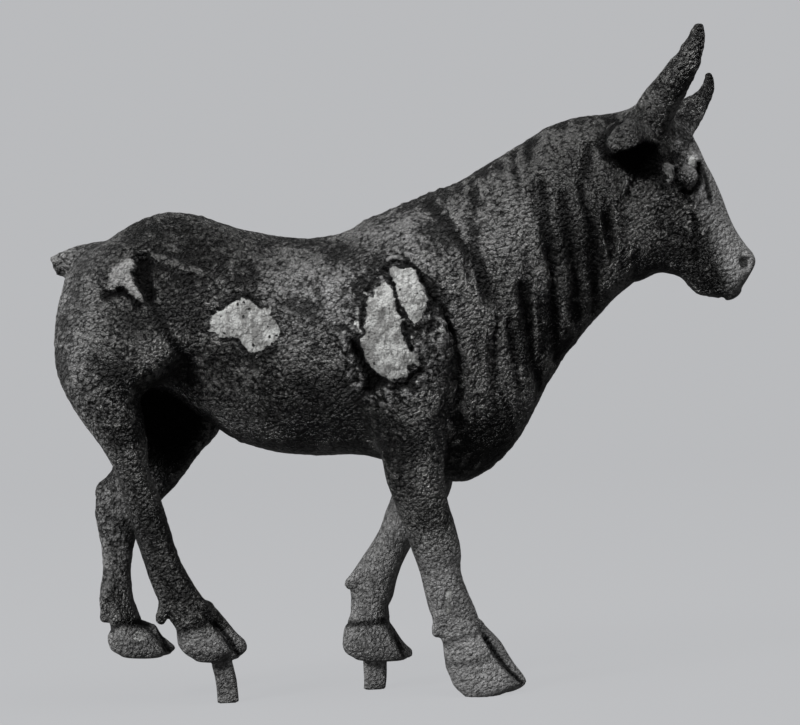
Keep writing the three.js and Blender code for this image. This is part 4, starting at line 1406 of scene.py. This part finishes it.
        # Painted highlight: the tops of the crumbs are greyed light.
        wear.dust_and_sheen = np.maximum(wear.dust_and_sheen, 0.95 * around * smoothstep(-0.6, 0.2, lumps))
        rise = self.plate_rise + self.plate_ripple * self.lumpy(points @ self.streaks, 3, 24)
        for plate in self.plates:
            edge = plate(points)
            wear.height += near * smoothstep(0.8, -0.8, edge) * rise
            wear.bare = np.maximum(wear.bare, near * smoothstep(1.2, -1.2, edge))
            rim = near * self.rim(edge, points)
            wear.height -= self.rim_depth * rim
            # Painted shade along the line round each plate.
            wear.shade_in_hollows = np.maximum(wear.shade_in_hollows, 0.4 * rim)
        hole = near * smoothstep(0.6, -0.7, self.cavity(points))
        cracks = self.cut(self.cracks, points, near)
        wear.height -= self.cavity_depth * hole + cracks
        broken = smoothstep(-0.6, -0.1, rough(points, 3, 42, 2))
        # Painted shade in the cavity and the cracks; less of the earlier shade on bare metal.
        dark = np.maximum(hole, smoothstep(0.35, 0.8, cracks) * broken)
        wear.shade_in_hollows = np.maximum(wear.shade_in_hollows * smoothstep(0.7, 0.3, wear.bare), dark)

    def flake_flank(self, wear: WearAndShading) -> None:
        """Adds the flaked place of the flank: lower, smoother and bare, with cracks round it.

        Args:
            wear: what is left so far, changed in place.
        """
        points, near = wear.points, wear.near
        edge = self.flake(points)
        line = 0.5 * near * self.rim(edge, points)
        rim = np.maximum(self.cut(self.flake_rim, points, near), line)
        floor = self.flake_ripple * self.lumpy(points, 3, 28) - self.flake_sink
        wear.height += near * smoothstep(0.4, -0.4, edge) * (floor - 0.85 * wear.height) - rim
        wear.bare = np.maximum(wear.bare, near * smoothstep(1, -1, edge))
        # Painted shade in the cracks round the flaked place.
        wear.shade_in_hollows = np.maximum(wear.shade_in_hollows, smoothstep(0.35, 0.9, rim))
        wear.dust_and_sheen = np.maximum(wear.dust_and_sheen, 0.75 * near * smoothstep(1, -1, edge))

    def tear_hip(self, wear: WearAndShading) -> None:
        """Adds the hip's torn leaf, the pocket before it, the furrows and the raised line.

        Args:
            wear: what is left so far, changed in place.
        """
        points, near = wear.points, wear.near
        leaf = near * smoothstep(0.7, -0.1, self.hip_leaf(points))
        wedge = near * smoothstep(0.5, -0.7, self.hip_wedge(points)) * (1 - leaf)
        cracks = self.cut(self.hip_cracks, points, near) * (1 - leaf)
        cuts = self.wedge_depth * wedge + 0.7 * cracks
        wear.height += self.leaf_rise * leaf - cuts + 0.4 * near * self.hip_ridge(points)
        wear.calm = np.maximum(wear.calm, 0.9 * leaf)
        wear.bare = np.maximum(wear.bare, 0.24 * leaf)
        # Painted shade: black in the pocket, darker in the furrows, none on the leaf.
        dark = np.maximum(wedge, 0.7 * smoothstep(0.4, 1.0, cracks))
        wear.shade_in_hollows = np.maximum(wear.shade_in_hollows, dark) * (1 - leaf)
        wear.dust_and_sheen = np.maximum(wear.dust_and_sheen, 0.35 * leaf)

    def cut_lines(self, wear: WearAndShading) -> None:
        """Cuts the creases of the face, and the clefts and edges of the hooves.

        The lines of the hooves are kept off the inner sides of the left legs.

        Args:
            wear: what is left so far, changed in place.
        """
        x, y, _ = wear.points.T
        outer = np.where(y > 0, smoothstep(12.5, 10.5, y - 2.2 * (x > -50)), 1)
        lines = outer * np.max([line(wear.points) for line in self.hoof_lines], axis=0)
        cracks = self.cut(self.face_cracks, wear.points, wear.near)
        wear.height -= np.maximum(cracks, lines)
        # Painted shade in the creases of the face and the lines of the hooves.
        dark = np.clip(np.maximum(1.2 * cracks, 0.6 * lines) - 0.15, 0, 1)
        wear.shade_in_hollows = np.maximum(wear.shade_in_hollows, dark)

    def chip(self, wear: WearAndShading) -> None:
        """Adds the chips, which stand up and are bare, a tall one less so.

        Args:
            wear: what is left so far, changed in place.
        """
        for patch, tall in self.chips:
            on = wear.near * smoothstep(0.4, -0.2, patch(wear.points))
            wear.height += tall * on
            wear.bare = np.maximum(wear.bare, (0.6 if tall < self.tall_chip else 0.3) * on)

    def polish_shins(self, wear: WearAndShading) -> None:
        """Smooths the worn spots of the legs and lays their metal bare.

        Args:
            wear: what is left so far, changed in place.
        """
        x, y, z = wear.points.T
        for (cx, cz), (rx, rz) in self.shin:
            spot = np.hypot((x - cx) / rx, (z - cz) / rz) + 0.3 * rough(wear.points, 3, 33, 2)
            worn = np.where(y < (x < -70) * 8, smoothstep(1.1, 0.5, spot), 0)
            wear.height *= 1 - 0.6 * worn
            wear.bare = np.maximum(wear.bare, 0.46 * worn)
            wear.calm = np.maximum(wear.calm, worn)

    @staticmethod
    def lumpy(points: Array, wave: float, seed: int) -> Array:
        """Rounded lumps with creases between them: the size of noise, less its mean, in octaves."""
        octaves = ((0.62**n, Noise(wave / 1.8**n, seed + n)(points)) for n in range(2))
        return sum(share * (2.4 * np.abs(noise) - 0.7) for share, noise in octaves)

    @staticmethod
    def wrinkles(points: Array) -> Array:
        """Fine upright wrinkles of the neck: noise drawn out along the folds, in ridges.

        The noise is read at points sheared so that the ridges lean as the folds do. The height is
        1 - 2.4 |noise|, and at least -0.6.

        Args:
            points: places on the form.

        Returns:
            The height, 1 on a ridge and 0 off the neck and near the middle plane.
        """
        x, y, z = points.T
        lean = points + np.stack([0.13 * z, 0 * x, 0 * z], 1)
        ridge = 1 - 2.4 * np.abs(Noise(4.6, 31, (1, 3, 6.5))(lean))
        on_neck = smoothstep(4, 26, x) * smoothstep(76, 62, x) * smoothstep(78, 92, z)
        return on_neck * smoothstep(1.5, 7, np.abs(y)) * np.maximum(ridge, -0.6)

    @staticmethod
    def cut(lines: Sequence[Form], points: Array, share: Array) -> Array:
        """Deepest of some furrows at points, with lines that waver by up to half a millimetre.

        Args:
            lines: the furrows.
            points: places on the form.
            share: how much of the depth each place gets.

        Returns:
            The depth in millimetres.
        """
        noise = np.stack([rough(points, 2.6, seed, 2) for seed in (27, 28, 29)], 1)
        waver = points + 0.55 * noise * (1, 0, 1)
        return share * np.max([line(waver) for line in lines], axis=0)

    @staticmethod
    def rim(edge: Array, points: Array) -> Array:
        """A ragged line just outside an edge, broken by noise.

        Args:
            edge: distance from the edge, negative inside.
            points: places on the form.

        Returns:
            A share, 1 on the line.
        """
        line = smoothstep(1.0, 0.5, edge) * smoothstep(-0.5, 0.1, edge)
        return line * smoothstep(0.05, 0.35, rough(points, 3.5, 36, 2))

    @staticmethod
    def spots(table: Sequence[Row], points: Array) -> Array:
        """The greatest of soft round spots in the side view.

        A spot's value is share * exp(-(dx / rx)**2 - (dz / rz)**2) at dx and dz from its middle.

        Args:
            table: spots, each (x, z, radius along x, radius along z, share).
            points: places on the form.

        Returns:
            A share for each place.
        """
        x, _, z = points.T
        values = [
            share * np.exp(-(((x - cx) / rx) ** 2) - ((z - cz) / rz) ** 2)
            for cx, cz, rx, rz, share in table
        ]
        return np.max(values, axis=0)

    @staticmethod
    def calmness(points: Array) -> Array:
        """How calm the grain is: on muzzle, legs, hooves and rump, but not on the horns.

        Args:
            points: places on the form.

        Returns:
            A share for each place.
        """
        x, y, z = points.T
        off_horns = smoothstep(170, 160, z - 0.8 * (x - 84))
        muzzle = 0.95 * smoothstep(86, 95, x + 0.35 * (z - 145))
        legs = 0.32 + 0.3 * smoothstep(-3, 3, x) + 0.3 * smoothstep(2, 6, y)
        hooves = (0.72 + 0.13 * (x > 10)) * smoothstep(28, 22, z)
        rump = 0.9 * smoothstep(-80, -94, x)
        return off_horns * np.max([muzzle, legs * smoothstep(75, 60, z), hooves, rump], axis=0)

    def dust_and_sheen(self, points: Array) -> Array:
        """How grey and dull the crust is: painted sheen in lit spots of flank, withers, shoulder
        and neck, painted light paling the rear of rump and tail, and greyer on muzzle, far legs,
        shins and hooves.

        Args:
            points: places on the form.

        Returns:
            A share for each place.
        """
        x, y, z = points.T
        # Painted light: rump and tail pale towards the rear.
        rump = 0.7 * smoothstep(-78, -98, x) * smoothstep(60, 100, z)
        tail = 0.5 * smoothstep(-92, -97, x) * smoothstep(122, 127, z)
        muzzle = 0.85 * smoothstep(86, 92, x + 0.35 * (z - 145)) * smoothstep(182, 168, z)
        far = 0.72 * smoothstep(2, 6, y) * smoothstep(75, 60, z)
        shin = 0.95 * smoothstep(-3, 3, x) * smoothstep(56, 38, z)
        hoof = (0.6 + 0.35 * (x > 0)) * smoothstep(26, 20, z)
        # Painted sheen on lit spots.
        spots = self.spots(self.grey_and_lit, points)
        return np.max([spots, rump, tail, muzzle, far, shin, hoof], axis=0)


# Shader maths.


class Value:
    """A number that varies over a surface, so that shader maths reads as arithmetic."""

    def __init__(self, shader: "Shader", socket: bpy.types.NodeSocket) -> None:
        """Wraps an output socket of a shader."""
        self.shader = shader
        self.socket = socket

    def _math(self, operation: str, *values: "Value | float") -> "Value":
        """A Math node on values."""
        made = self.shader.node("ShaderNodeMath", {"operation": operation}, dict(enumerate(values)))
        return Value(self.shader, made.outputs[0])

    def __add__(self, other: "Value | float") -> "Value":
        """Sum."""
        return self._math("ADD", self, other)

    __radd__ = __add__

    def __mul__(self, other: "Value | float") -> "Value":
        """Product."""
        return self._math("MULTIPLY", self, other)

    __rmul__ = __mul__

    def __sub__(self, other: "Value | float") -> "Value":
        """Difference."""
        return self._math("SUBTRACT", self, other)

    def __rsub__(self, other: "Value | float") -> "Value":
        """Difference from a number."""
        return self._math("SUBTRACT", other, self)

    def step(self, low: float, high: float) -> "Value":
        """A soft step.

        Args:
            low: value from which it is 0.
            high: value from which it is 1.

        Returns:
            The step.
        """
        inputs = {"Value": self, "From Min": low, "From Max": high}
        made = self.shader.node("ShaderNodeMapRange", {"interpolation_type": "SMOOTHSTEP"}, inputs)
        return Value(self.shader, made.outputs[0])


class Shader:
    """A material's nodes, built one by one."""

    def __init__(self, name: str) -> None:
        """Starts a material with an empty node tree.

        Args:
            name: its name.
        """
        self.material = bpy.data.materials.new(name)
        self.material.use_nodes = True
        self.tree = self.material.node_tree
        self.tree.nodes.clear()
        self.place = self.node("ShaderNodeTexCoord").outputs["Object"]

    def node(
        self, kind: str, settings: dict | None = None, inputs: dict | None = None
    ) -> bpy.types.Node:
        """Adds a node.

        Args:
            kind: its type.
            settings: attributes, set first.
            inputs: a value, a socket or a Value for each named or numbered input.

        Returns:
            The node.
        """
        made = self.tree.nodes.new(kind)
        for key, value in (settings or {}).items():
            setattr(made, key, value)
        for key, value in (inputs or {}).items():
            source = value.socket if isinstance(value, Value) else value
            if isinstance(source, bpy.types.NodeSocket):
                self.tree.links.new(source, made.inputs[key])
            else:
                made.inputs[key].default_value = source
        return made

    def attribute(self, name: str) -> Value:
        """A number kept at each vertex."""
        made = self.node("ShaderNodeAttribute", {"attribute_name": name})
        return Value(self, made.outputs["Fac"])

    def counted(self, size: float, stretch: Row = (1, 1, 1)) -> bpy.types.NodeSocket:
        """Object coordinates counted in a size in metres, which is stretched along each axis."""
        inputs = {"Vector": self.place, "Scale": [1 / (size * s) for s in stretch]}
        return self.node("ShaderNodeMapping", inputs=inputs).outputs[0]

    def noise(self, size: float, detail: float, keep: float, stretch: Row = (1, 1, 1)) -> Value:
        """Noise on object coordinates.

        Args:
            size: size of its bumps in metres.
            detail: number of finer noises on it.
            keep: height of each of these against the one before it.
            stretch: how many times longer the bumps are along each axis.

        Returns:
            The noise, 0.5 on the whole.
        """
        at = self.counted(size, stretch)
        inputs = {"Vector": at, "Scale": 1.0, "Detail": detail, "Roughness": keep}
        return Value(self, self.node("ShaderNodeTexNoise", inputs=inputs).outputs["Fac"])

    def grains(self, size: float) -> Value:
        """A field of round grains.

        Args:
            size: distance between their middles in metres.

        Returns:
            The distance from the middle of the nearest grain, counted in the size.
        """
        inputs = {"Vector": self.counted(size), "Scale": 1.0}
        made = self.node("ShaderNodeTexVoronoi", {"feature": "F1"}, inputs)
        return Value(self, made.outputs["Distance"])

    def mix(
        self, share: Value, a: "Row | bpy.types.NodeSocket", b: "Row | bpy.types.NodeSocket"
    ) -> bpy.types.NodeSocket:
        """A colour that goes from a to b with the share."""
        made = self.node("ShaderNodeMix", {"data_type": "RGBA"}, {0: share, 6: a, 7: b})
        return made.outputs[2]

    def finish(
        self,
        color: bpy.types.NodeSocket,
        roughness: Value,
        metallic: Value,
        normal: bpy.types.NodeSocket,
    ) -> bpy.types.Material:
        """Joins everything in a Principled shader.

        Args:
            color: the base colour.
            roughness: the roughness.
            metallic: how metallic the surface is.
            normal: the normal, with the bump.

        Returns:
            The material.
        """
        inputs = {
            "Base Color": color, "Roughness": roughness, "Metallic": metallic, "Normal": normal,
        }
        made = self.node("ShaderNodeBsdfPrincipled", inputs=inputs)
        self.node("ShaderNodeOutputMaterial", inputs={"Surface": made.outputs[0]})
        return self.material


@dataclass(frozen=True)
class CorrodedBronze:
    """Dark, grainy, corroded bronze with places of bare metal.

    Attributes:
        dark: near black of the painted shade in hollows, cracks and shaded spots.
        crust: colour of most of the surface.
        tops: colour of the worn tops of the grain.
        grey_and_lit: colour of the greyer places and of the painted sheen.
        metal: colour where the metal is bare.
        tarnish: colour of its spots.
        blotch: size of the broad changes of tone, in metres, as are all the sizes that follow.
        fine: size of the finest noise.
        ragged: size of the noise that breaks edges.
        coarse: size of the larger grains.
        small: size of the smaller grains.
        pit: distance between the pits of the bare metal.
        speck: size of the streaks of tarnish.
        cloud: size of its clouds.
        swell: size of the slow waves of the bump.
        bump: height of the bump.
    """

    dark: Row = (0.008, 0.008, 0.008, 1)
    crust: Row = (0.05, 0.0495, 0.048, 1)
    tops: Row = (0.235, 0.234, 0.228, 1)
    grey_and_lit: Row = (0.4, 0.399, 0.4, 1)
    metal: Row = (0.46, 0.465, 0.455, 1)
    tarnish: Row = (0.1, 0.099, 0.095, 1)

    blotch: float = 0.018
    fine: float = 0.001
    ragged: float = 0.0026
    coarse: float = 0.0012
    small: float = 0.00065
    pit: float = 0.0028
    speck: float = 0.0018
    cloud: float = 0.006
    swell: float = 0.006
    bump: float = 0.0022

    def material(self) -> bpy.types.Material:
        """The crust's material: colour by relief, wear, noise and painted shade and light, and the
        grain as bump.

        The tops of the relief are worn light. Greying and painted sheen lighten the crust, spots of
        painted shade darken it, and bare metal shows where its share passes a ragged threshold.
        Painted shade darkens hollows and cracks, low relief, the crevices between the grains and
        the pits of the metal.

        Returns:
            The material.
        """
        s = Shader("corroded_bronze")
        bare, shade_in_hollows, dust_and_sheen, shade_spots, calm, relief = map(s.attribute, SHARES)
        blotches = s.noise(self.blotch, 4, 0.6)
        fine = s.noise(self.fine, 3, 0.65)
        ragged = s.noise(self.ragged, 5, 0.72)
        coarse = s.grains(self.coarse) + (fine - 0.5) * 1.2
        small = s.grains(self.small) + (fine - 0.5) * 0.5
        crevices = coarse.step(0.45, 0.72) * 0.75 + small.step(0.5, 0.75) * 0.4
        crevices = crevices * (0.45 + 0.55 * ragged.step(0.4, 0.56))
        worn = (bare + (fine - 0.5) * 0.9 + (ragged - 0.5) * 1.7).step(0.42, 0.54)

        tops = relief * 0.4 + fine * 1.3 + ragged * 0.3 + blotches * 0.2 - 0.835
        color = s.mix(tops.step(0.04, 0.5), self.crust, self.tops)
        # Greying, real in some places and painted sheen on lit places.
        color = s.mix(dust_and_sheen * (0.3 + 0.7 * fine.step(0.35, 0.65)), color, self.grey_and_lit)
        # Spots of painted shade.
        color = s.mix(shade_spots, color, self.dark)
        spots = 0.5 * s.noise(self.speck, 5, 0.8, (1, 1, 3)) + 0.5 * s.noise(self.cloud, 4, 0.6)
        metal = s.mix(0.72 * spots.step(0.43, 0.55) + 0.1 * dust_and_sheen, self.metal, self.tarnish)
        color = s.mix(worn, color, metal)
        # Painted shade: hollows and cracks, low relief, the crevices between the grains and the
        # pits of the bare metal go towards near black.
        low = (0.42 - relief * 0.6).step(0, 0.3)
        pits = 1 - (s.grains(self.pit) + (fine - 0.5) * 0.5).step(0.08, 0.17)
        between = crevices * (0.95 - 0.8 * calm) * (1 - 0.25 * dust_and_sheen) * (1 - 0.7 * worn)
        shade = (shade_in_hollows + low * (0.7 - 0.6 * worn) + (between + pits * worn)).step(0, 1)
        color = s.mix(shade, color, self.dark)

        roughness = 0.33 + 0.35 * dust_and_sheen + 0.25 * (blotches - 0.5) + 0.2 * shade_in_hollows + 0.12 * worn
        # Painted shade turns fully metallic with the near-black colour, so that it reflects almost
        # nothing.
        metallic = (0.55 - 0.35 * dust_and_sheen - 0.4 * worn) * (1 - shade_in_hollows) + shade_in_hollows
        high = 0.9 * fine + 1.3 * ragged + 0.6 * s.noise(self.swell, 2, 0.5)
        high = high - 0.35 * coarse - 0.22 * small - 0.5 * crevices
        high = high * (1 - 0.8 * worn) * (1 - 0.75 * calm) - pits * worn * 0.3
        inputs = {"Height": high, "Strength": 1.0, "Distance": self.bump}
        bump = s.node("ShaderNodeBump", inputs=inputs)
        return s.finish(color, roughness, metallic, bump.outputs[0])


# The bull as a piece of the scene.


@dataclass
class BullFigure:
    """The whole casting with its crust.

    Attributes:
        casting: its form.
        crust: its relief and wear.
        stance: how it stands.
        finish: its material.
        sole: heights from which relief begins and is whole, above the ground.
        low: lowest corner of the grid that finds the surface, in millimetres.
        high: its highest corner.
    """

    casting: Casting = field(default_factory=Casting)
    crust: Crust = field(default_factory=Crust)
    stance: Stance = field(default_factory=Stance)
    finish: CorrodedBronze = CorrodedBronze()
    sole: tuple[float, float] = (0.15, 1.6)
    low: Row = (-109, -32, -1.5 * GRID)
    high: Row = (109, 32, 198)

    def standing(self, points: Array) -> Array:
        """The casting on the ground, cut off flat there: the greater of the two distances."""
        return np.maximum(self.casting(self.stance.lift(points)), -points[:, 2])

    def build(self) -> bpy.types.Object:
        """Meshes the form, adds the relief along the normals and keeps wear, painted shade and
        painted light as attributes.

        Returns:
            The piece.
        """
        low, high = np.array(self.low, float), np.array(self.high, float)
        shape = tuple(np.ceil((high - low) / GRID).astype(int) + 1)
        values = on_grid(self.standing, low, GRID, shape)
        fill_pinches(values)
        vertices, quads = surface_net(values, low, GRID)
        log.info("surface net: %d vertices, %d quads", len(vertices), len(quads))
        vertices, normals = settle(self.standing, vertices)
        wear = self.crust.wear(self.stance.lift(vertices), self.casting)
        clear = smoothstep(*self.sole, vertices[:, 2])
        placed = (vertices + (clear * wear.height)[:, None] * normals) / 1000
        placed[:, 2] = np.where(placed[:, 2] < 1e-4, 0, placed[:, 2])
        piece = mesh_object("bull_figure", placed, quads)
        for name in SHARES:
            layer = piece.data.attributes.new(name, "FLOAT", "POINT")
            layer.data.foreach_set("value", getattr(wear, name).astype(np.float32))
        self.dress(piece)
        return piece

    def dress(self, piece: bpy.types.Object) -> None:
        """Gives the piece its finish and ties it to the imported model.

        Args:
            piece: the mesh of the bull.
        """
        piece.data.materials.append(self.finish.material())
        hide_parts("bull")
        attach(piece, "root")


# The studio.


@dataclass(frozen=True)
class Softbox:
    """A soft rectangular light.

    Attributes:
        name: its name.
        at: where it stands, in metres.
        size: its width and height in metres.
        power: its power in watts.
    """

    name: str
    at: Row
    size: tuple[float, float]
    power: float

    def build(self, target: Vector) -> None:
        """Makes the light.

        Args:
            target: the point that it faces.
        """
        lamp = bpy.data.lights.new(self.name, "AREA")
        lamp.shape = "RECTANGLE"
        lamp.size, lamp.size_y = self.size
        lamp.energy = self.power
        made = bpy.data.objects.new(self.name, lamp)
        made.location = self.at
        made.rotation_euler = (target - Vector(self.at)).to_track_quat("-Z", "Y").to_euler()
        bpy.context.scene.collection.objects.link(made)


@dataclass
class Studio:
    """Pale floor that curves up all round into a wall, soft lights and the camera.

    Attributes:
        stance: how the bull stands, which tips the camera.
        flat_rings: radii of the rings of the flat floor, in metres.
        floor_radius: radius at which the floor begins to curve up.
        curve: radius of that curve.
        curve_steps: rings along it.
        wall_height: height of the top of the wall.
        sides: corners of each ring.
        pale: colour of the floor's own glow.
        glow: its strength.
        paper: how much light the floor throws back, as a grey.
        eye: the camera's place in the frame of the sections, in millimetres.
        lens: its focal length in millimetres.
        sensor: width of its sensor in millimetres.
        clip: nearest and farthest distance that it sees, in metres.
        target: the point that the lights face.
        world: colour of the light from all round.
        softboxes: the lights.
    """

    stance: Stance = field(default_factory=Stance)
    flat_rings: Row = (1e-5, 0.5, 1.0)
    floor_radius: float = 1.5
    curve: float = 0.9
    curve_steps: int = 17
    wall_height: float = 1.6
    sides: int = 96
    pale: Row = (0.508, 0.515, 0.53, 1)
    glow: float = 0.95
    paper: float = 0.022
    eye: Row = (0, -720, 101.85)
    lens: float = 108
    sensor: float = 36
    clip: tuple[float, float] = (0.01, 20)
    target: Row = (0, 0, 0.1)
    world: Row = (0.07, 0.07, 0.071, 1)
    softboxes: Sequence[Softbox] = (
        Softbox("key", (-0.85, -0.75, 0.75), (0.35, 0.35), 16),
        Softbox("overhead", (0.2, -0.3, 1.2), (0.7, 0.7), 13),
        Softbox("left_edge", (-1.1, 0.35, 0.3), (0.4, 0.9), 6),
        Softbox("front_low", (-0.2, -1.25, 0.1), (0.9, 0.4), 2),
    )

    def floor(self) -> bpy.types.Object:
        """The floor and wall: one profile turned about the z axis.

        The profile runs flat to floor_radius, along a quarter of a circle of radius curve, and
        straight up to wall_height. A point of it at radius r comes to (r cos a, r sin a).

        Returns:
            The floor.
        """
        turn = np.linspace(0, math.pi / 2, self.curve_steps)
        radius = np.concatenate([self.flat_rings, self.floor_radius + self.curve * np.sin(turn)])
        radius = np.append(radius, radius[-1])
        height = np.concatenate([np.zeros(len(self.flat_rings)), self.curve * (1 - np.cos(turn))])
        height = np.append(height, self.wall_height)
        around = np.linspace(0, 2 * math.pi, self.sides, endpoint=False)
        r, a = np.meshgrid(radius, around, indexing="ij")
        h = np.repeat(height, self.sides)
        points = np.stack([(r * np.cos(a)).ravel(), (r * np.sin(a)).ravel(), h], 1)
        i, j = np.meshgrid(np.arange(len(radius) - 1), np.arange(self.sides), indexing="ij")
        here, beside = i * self.sides + j, i * self.sides + (j + 1) % self.sides
        quads = np.stack([here, here + self.sides, beside + self.sides, beside], -1).reshape(-1, 4)
        piece = mesh_object("studio_floor", points, quads)
        shader = Shader("pale_paper")
        matt = shader.node("ShaderNodeBsdfDiffuse", inputs={"Color": [self.paper] * 3 + [1]})
        light = {"Color": self.pale, "Strength": self.glow}
        glow = shader.node("ShaderNodeEmission", inputs=light)
        both = shader.node("ShaderNodeAddShader", inputs={0: matt.outputs[0], 1: glow.outputs[0]})
        shader.node("ShaderNodeOutputMaterial", inputs={"Surface": both.outputs[0]})
        piece.data.materials.append(shader.material)
        piece.visible_diffuse = False
        piece.visible_glossy = False
        return piece

    def camera(self) -> None:
        """The camera at the photograph's viewpoint, looking level in the frame of the sections."""
        data = bpy.data.cameras.new("camera")
        data.lens, data.sensor_width = self.lens, self.sensor
        data.clip_start, data.clip_end = self.clip
        made = bpy.data.objects.new("camera", data)
        bpy.context.scene.collection.objects.link(made)
        turn = self.stance.turn()
        level = Matrix(((1, 0, 0, 0), (0, 0, -1, 0), (0, 1, 0, 0), (0, 0, 0, 1)))
        at = Vector(self.stance.place(np.array([self.eye], float))[0])
        made.matrix_world = Matrix.Translation(at) @ turn @ level
        bpy.context.scene.camera = made

    def build(self) -> None:
        """Builds floor, lights, world and camera."""
        self.floor()
        self.camera()
        for box in self.softboxes:
            box.build(Vector(self.target))
        world = bpy.data.worlds.new("studio")
        world.use_nodes = True
        world.node_tree.nodes["Background"].inputs["Color"].default_value = self.world
        bpy.context.scene.world = world
        bpy.context.scene.view_settings.view_transform = "Standard"
        log.info("studio built")


def main() -> None:
    """Builds the studio and the bull."""
    logging.basicConfig(level=logging.INFO, format="%(message)s")
    Studio().build()
    piece = BullFigure().build()
    log.info("%s: %d faces", piece.name, len(piece.data.polygons))


if __name__ == "__main__":
    main()
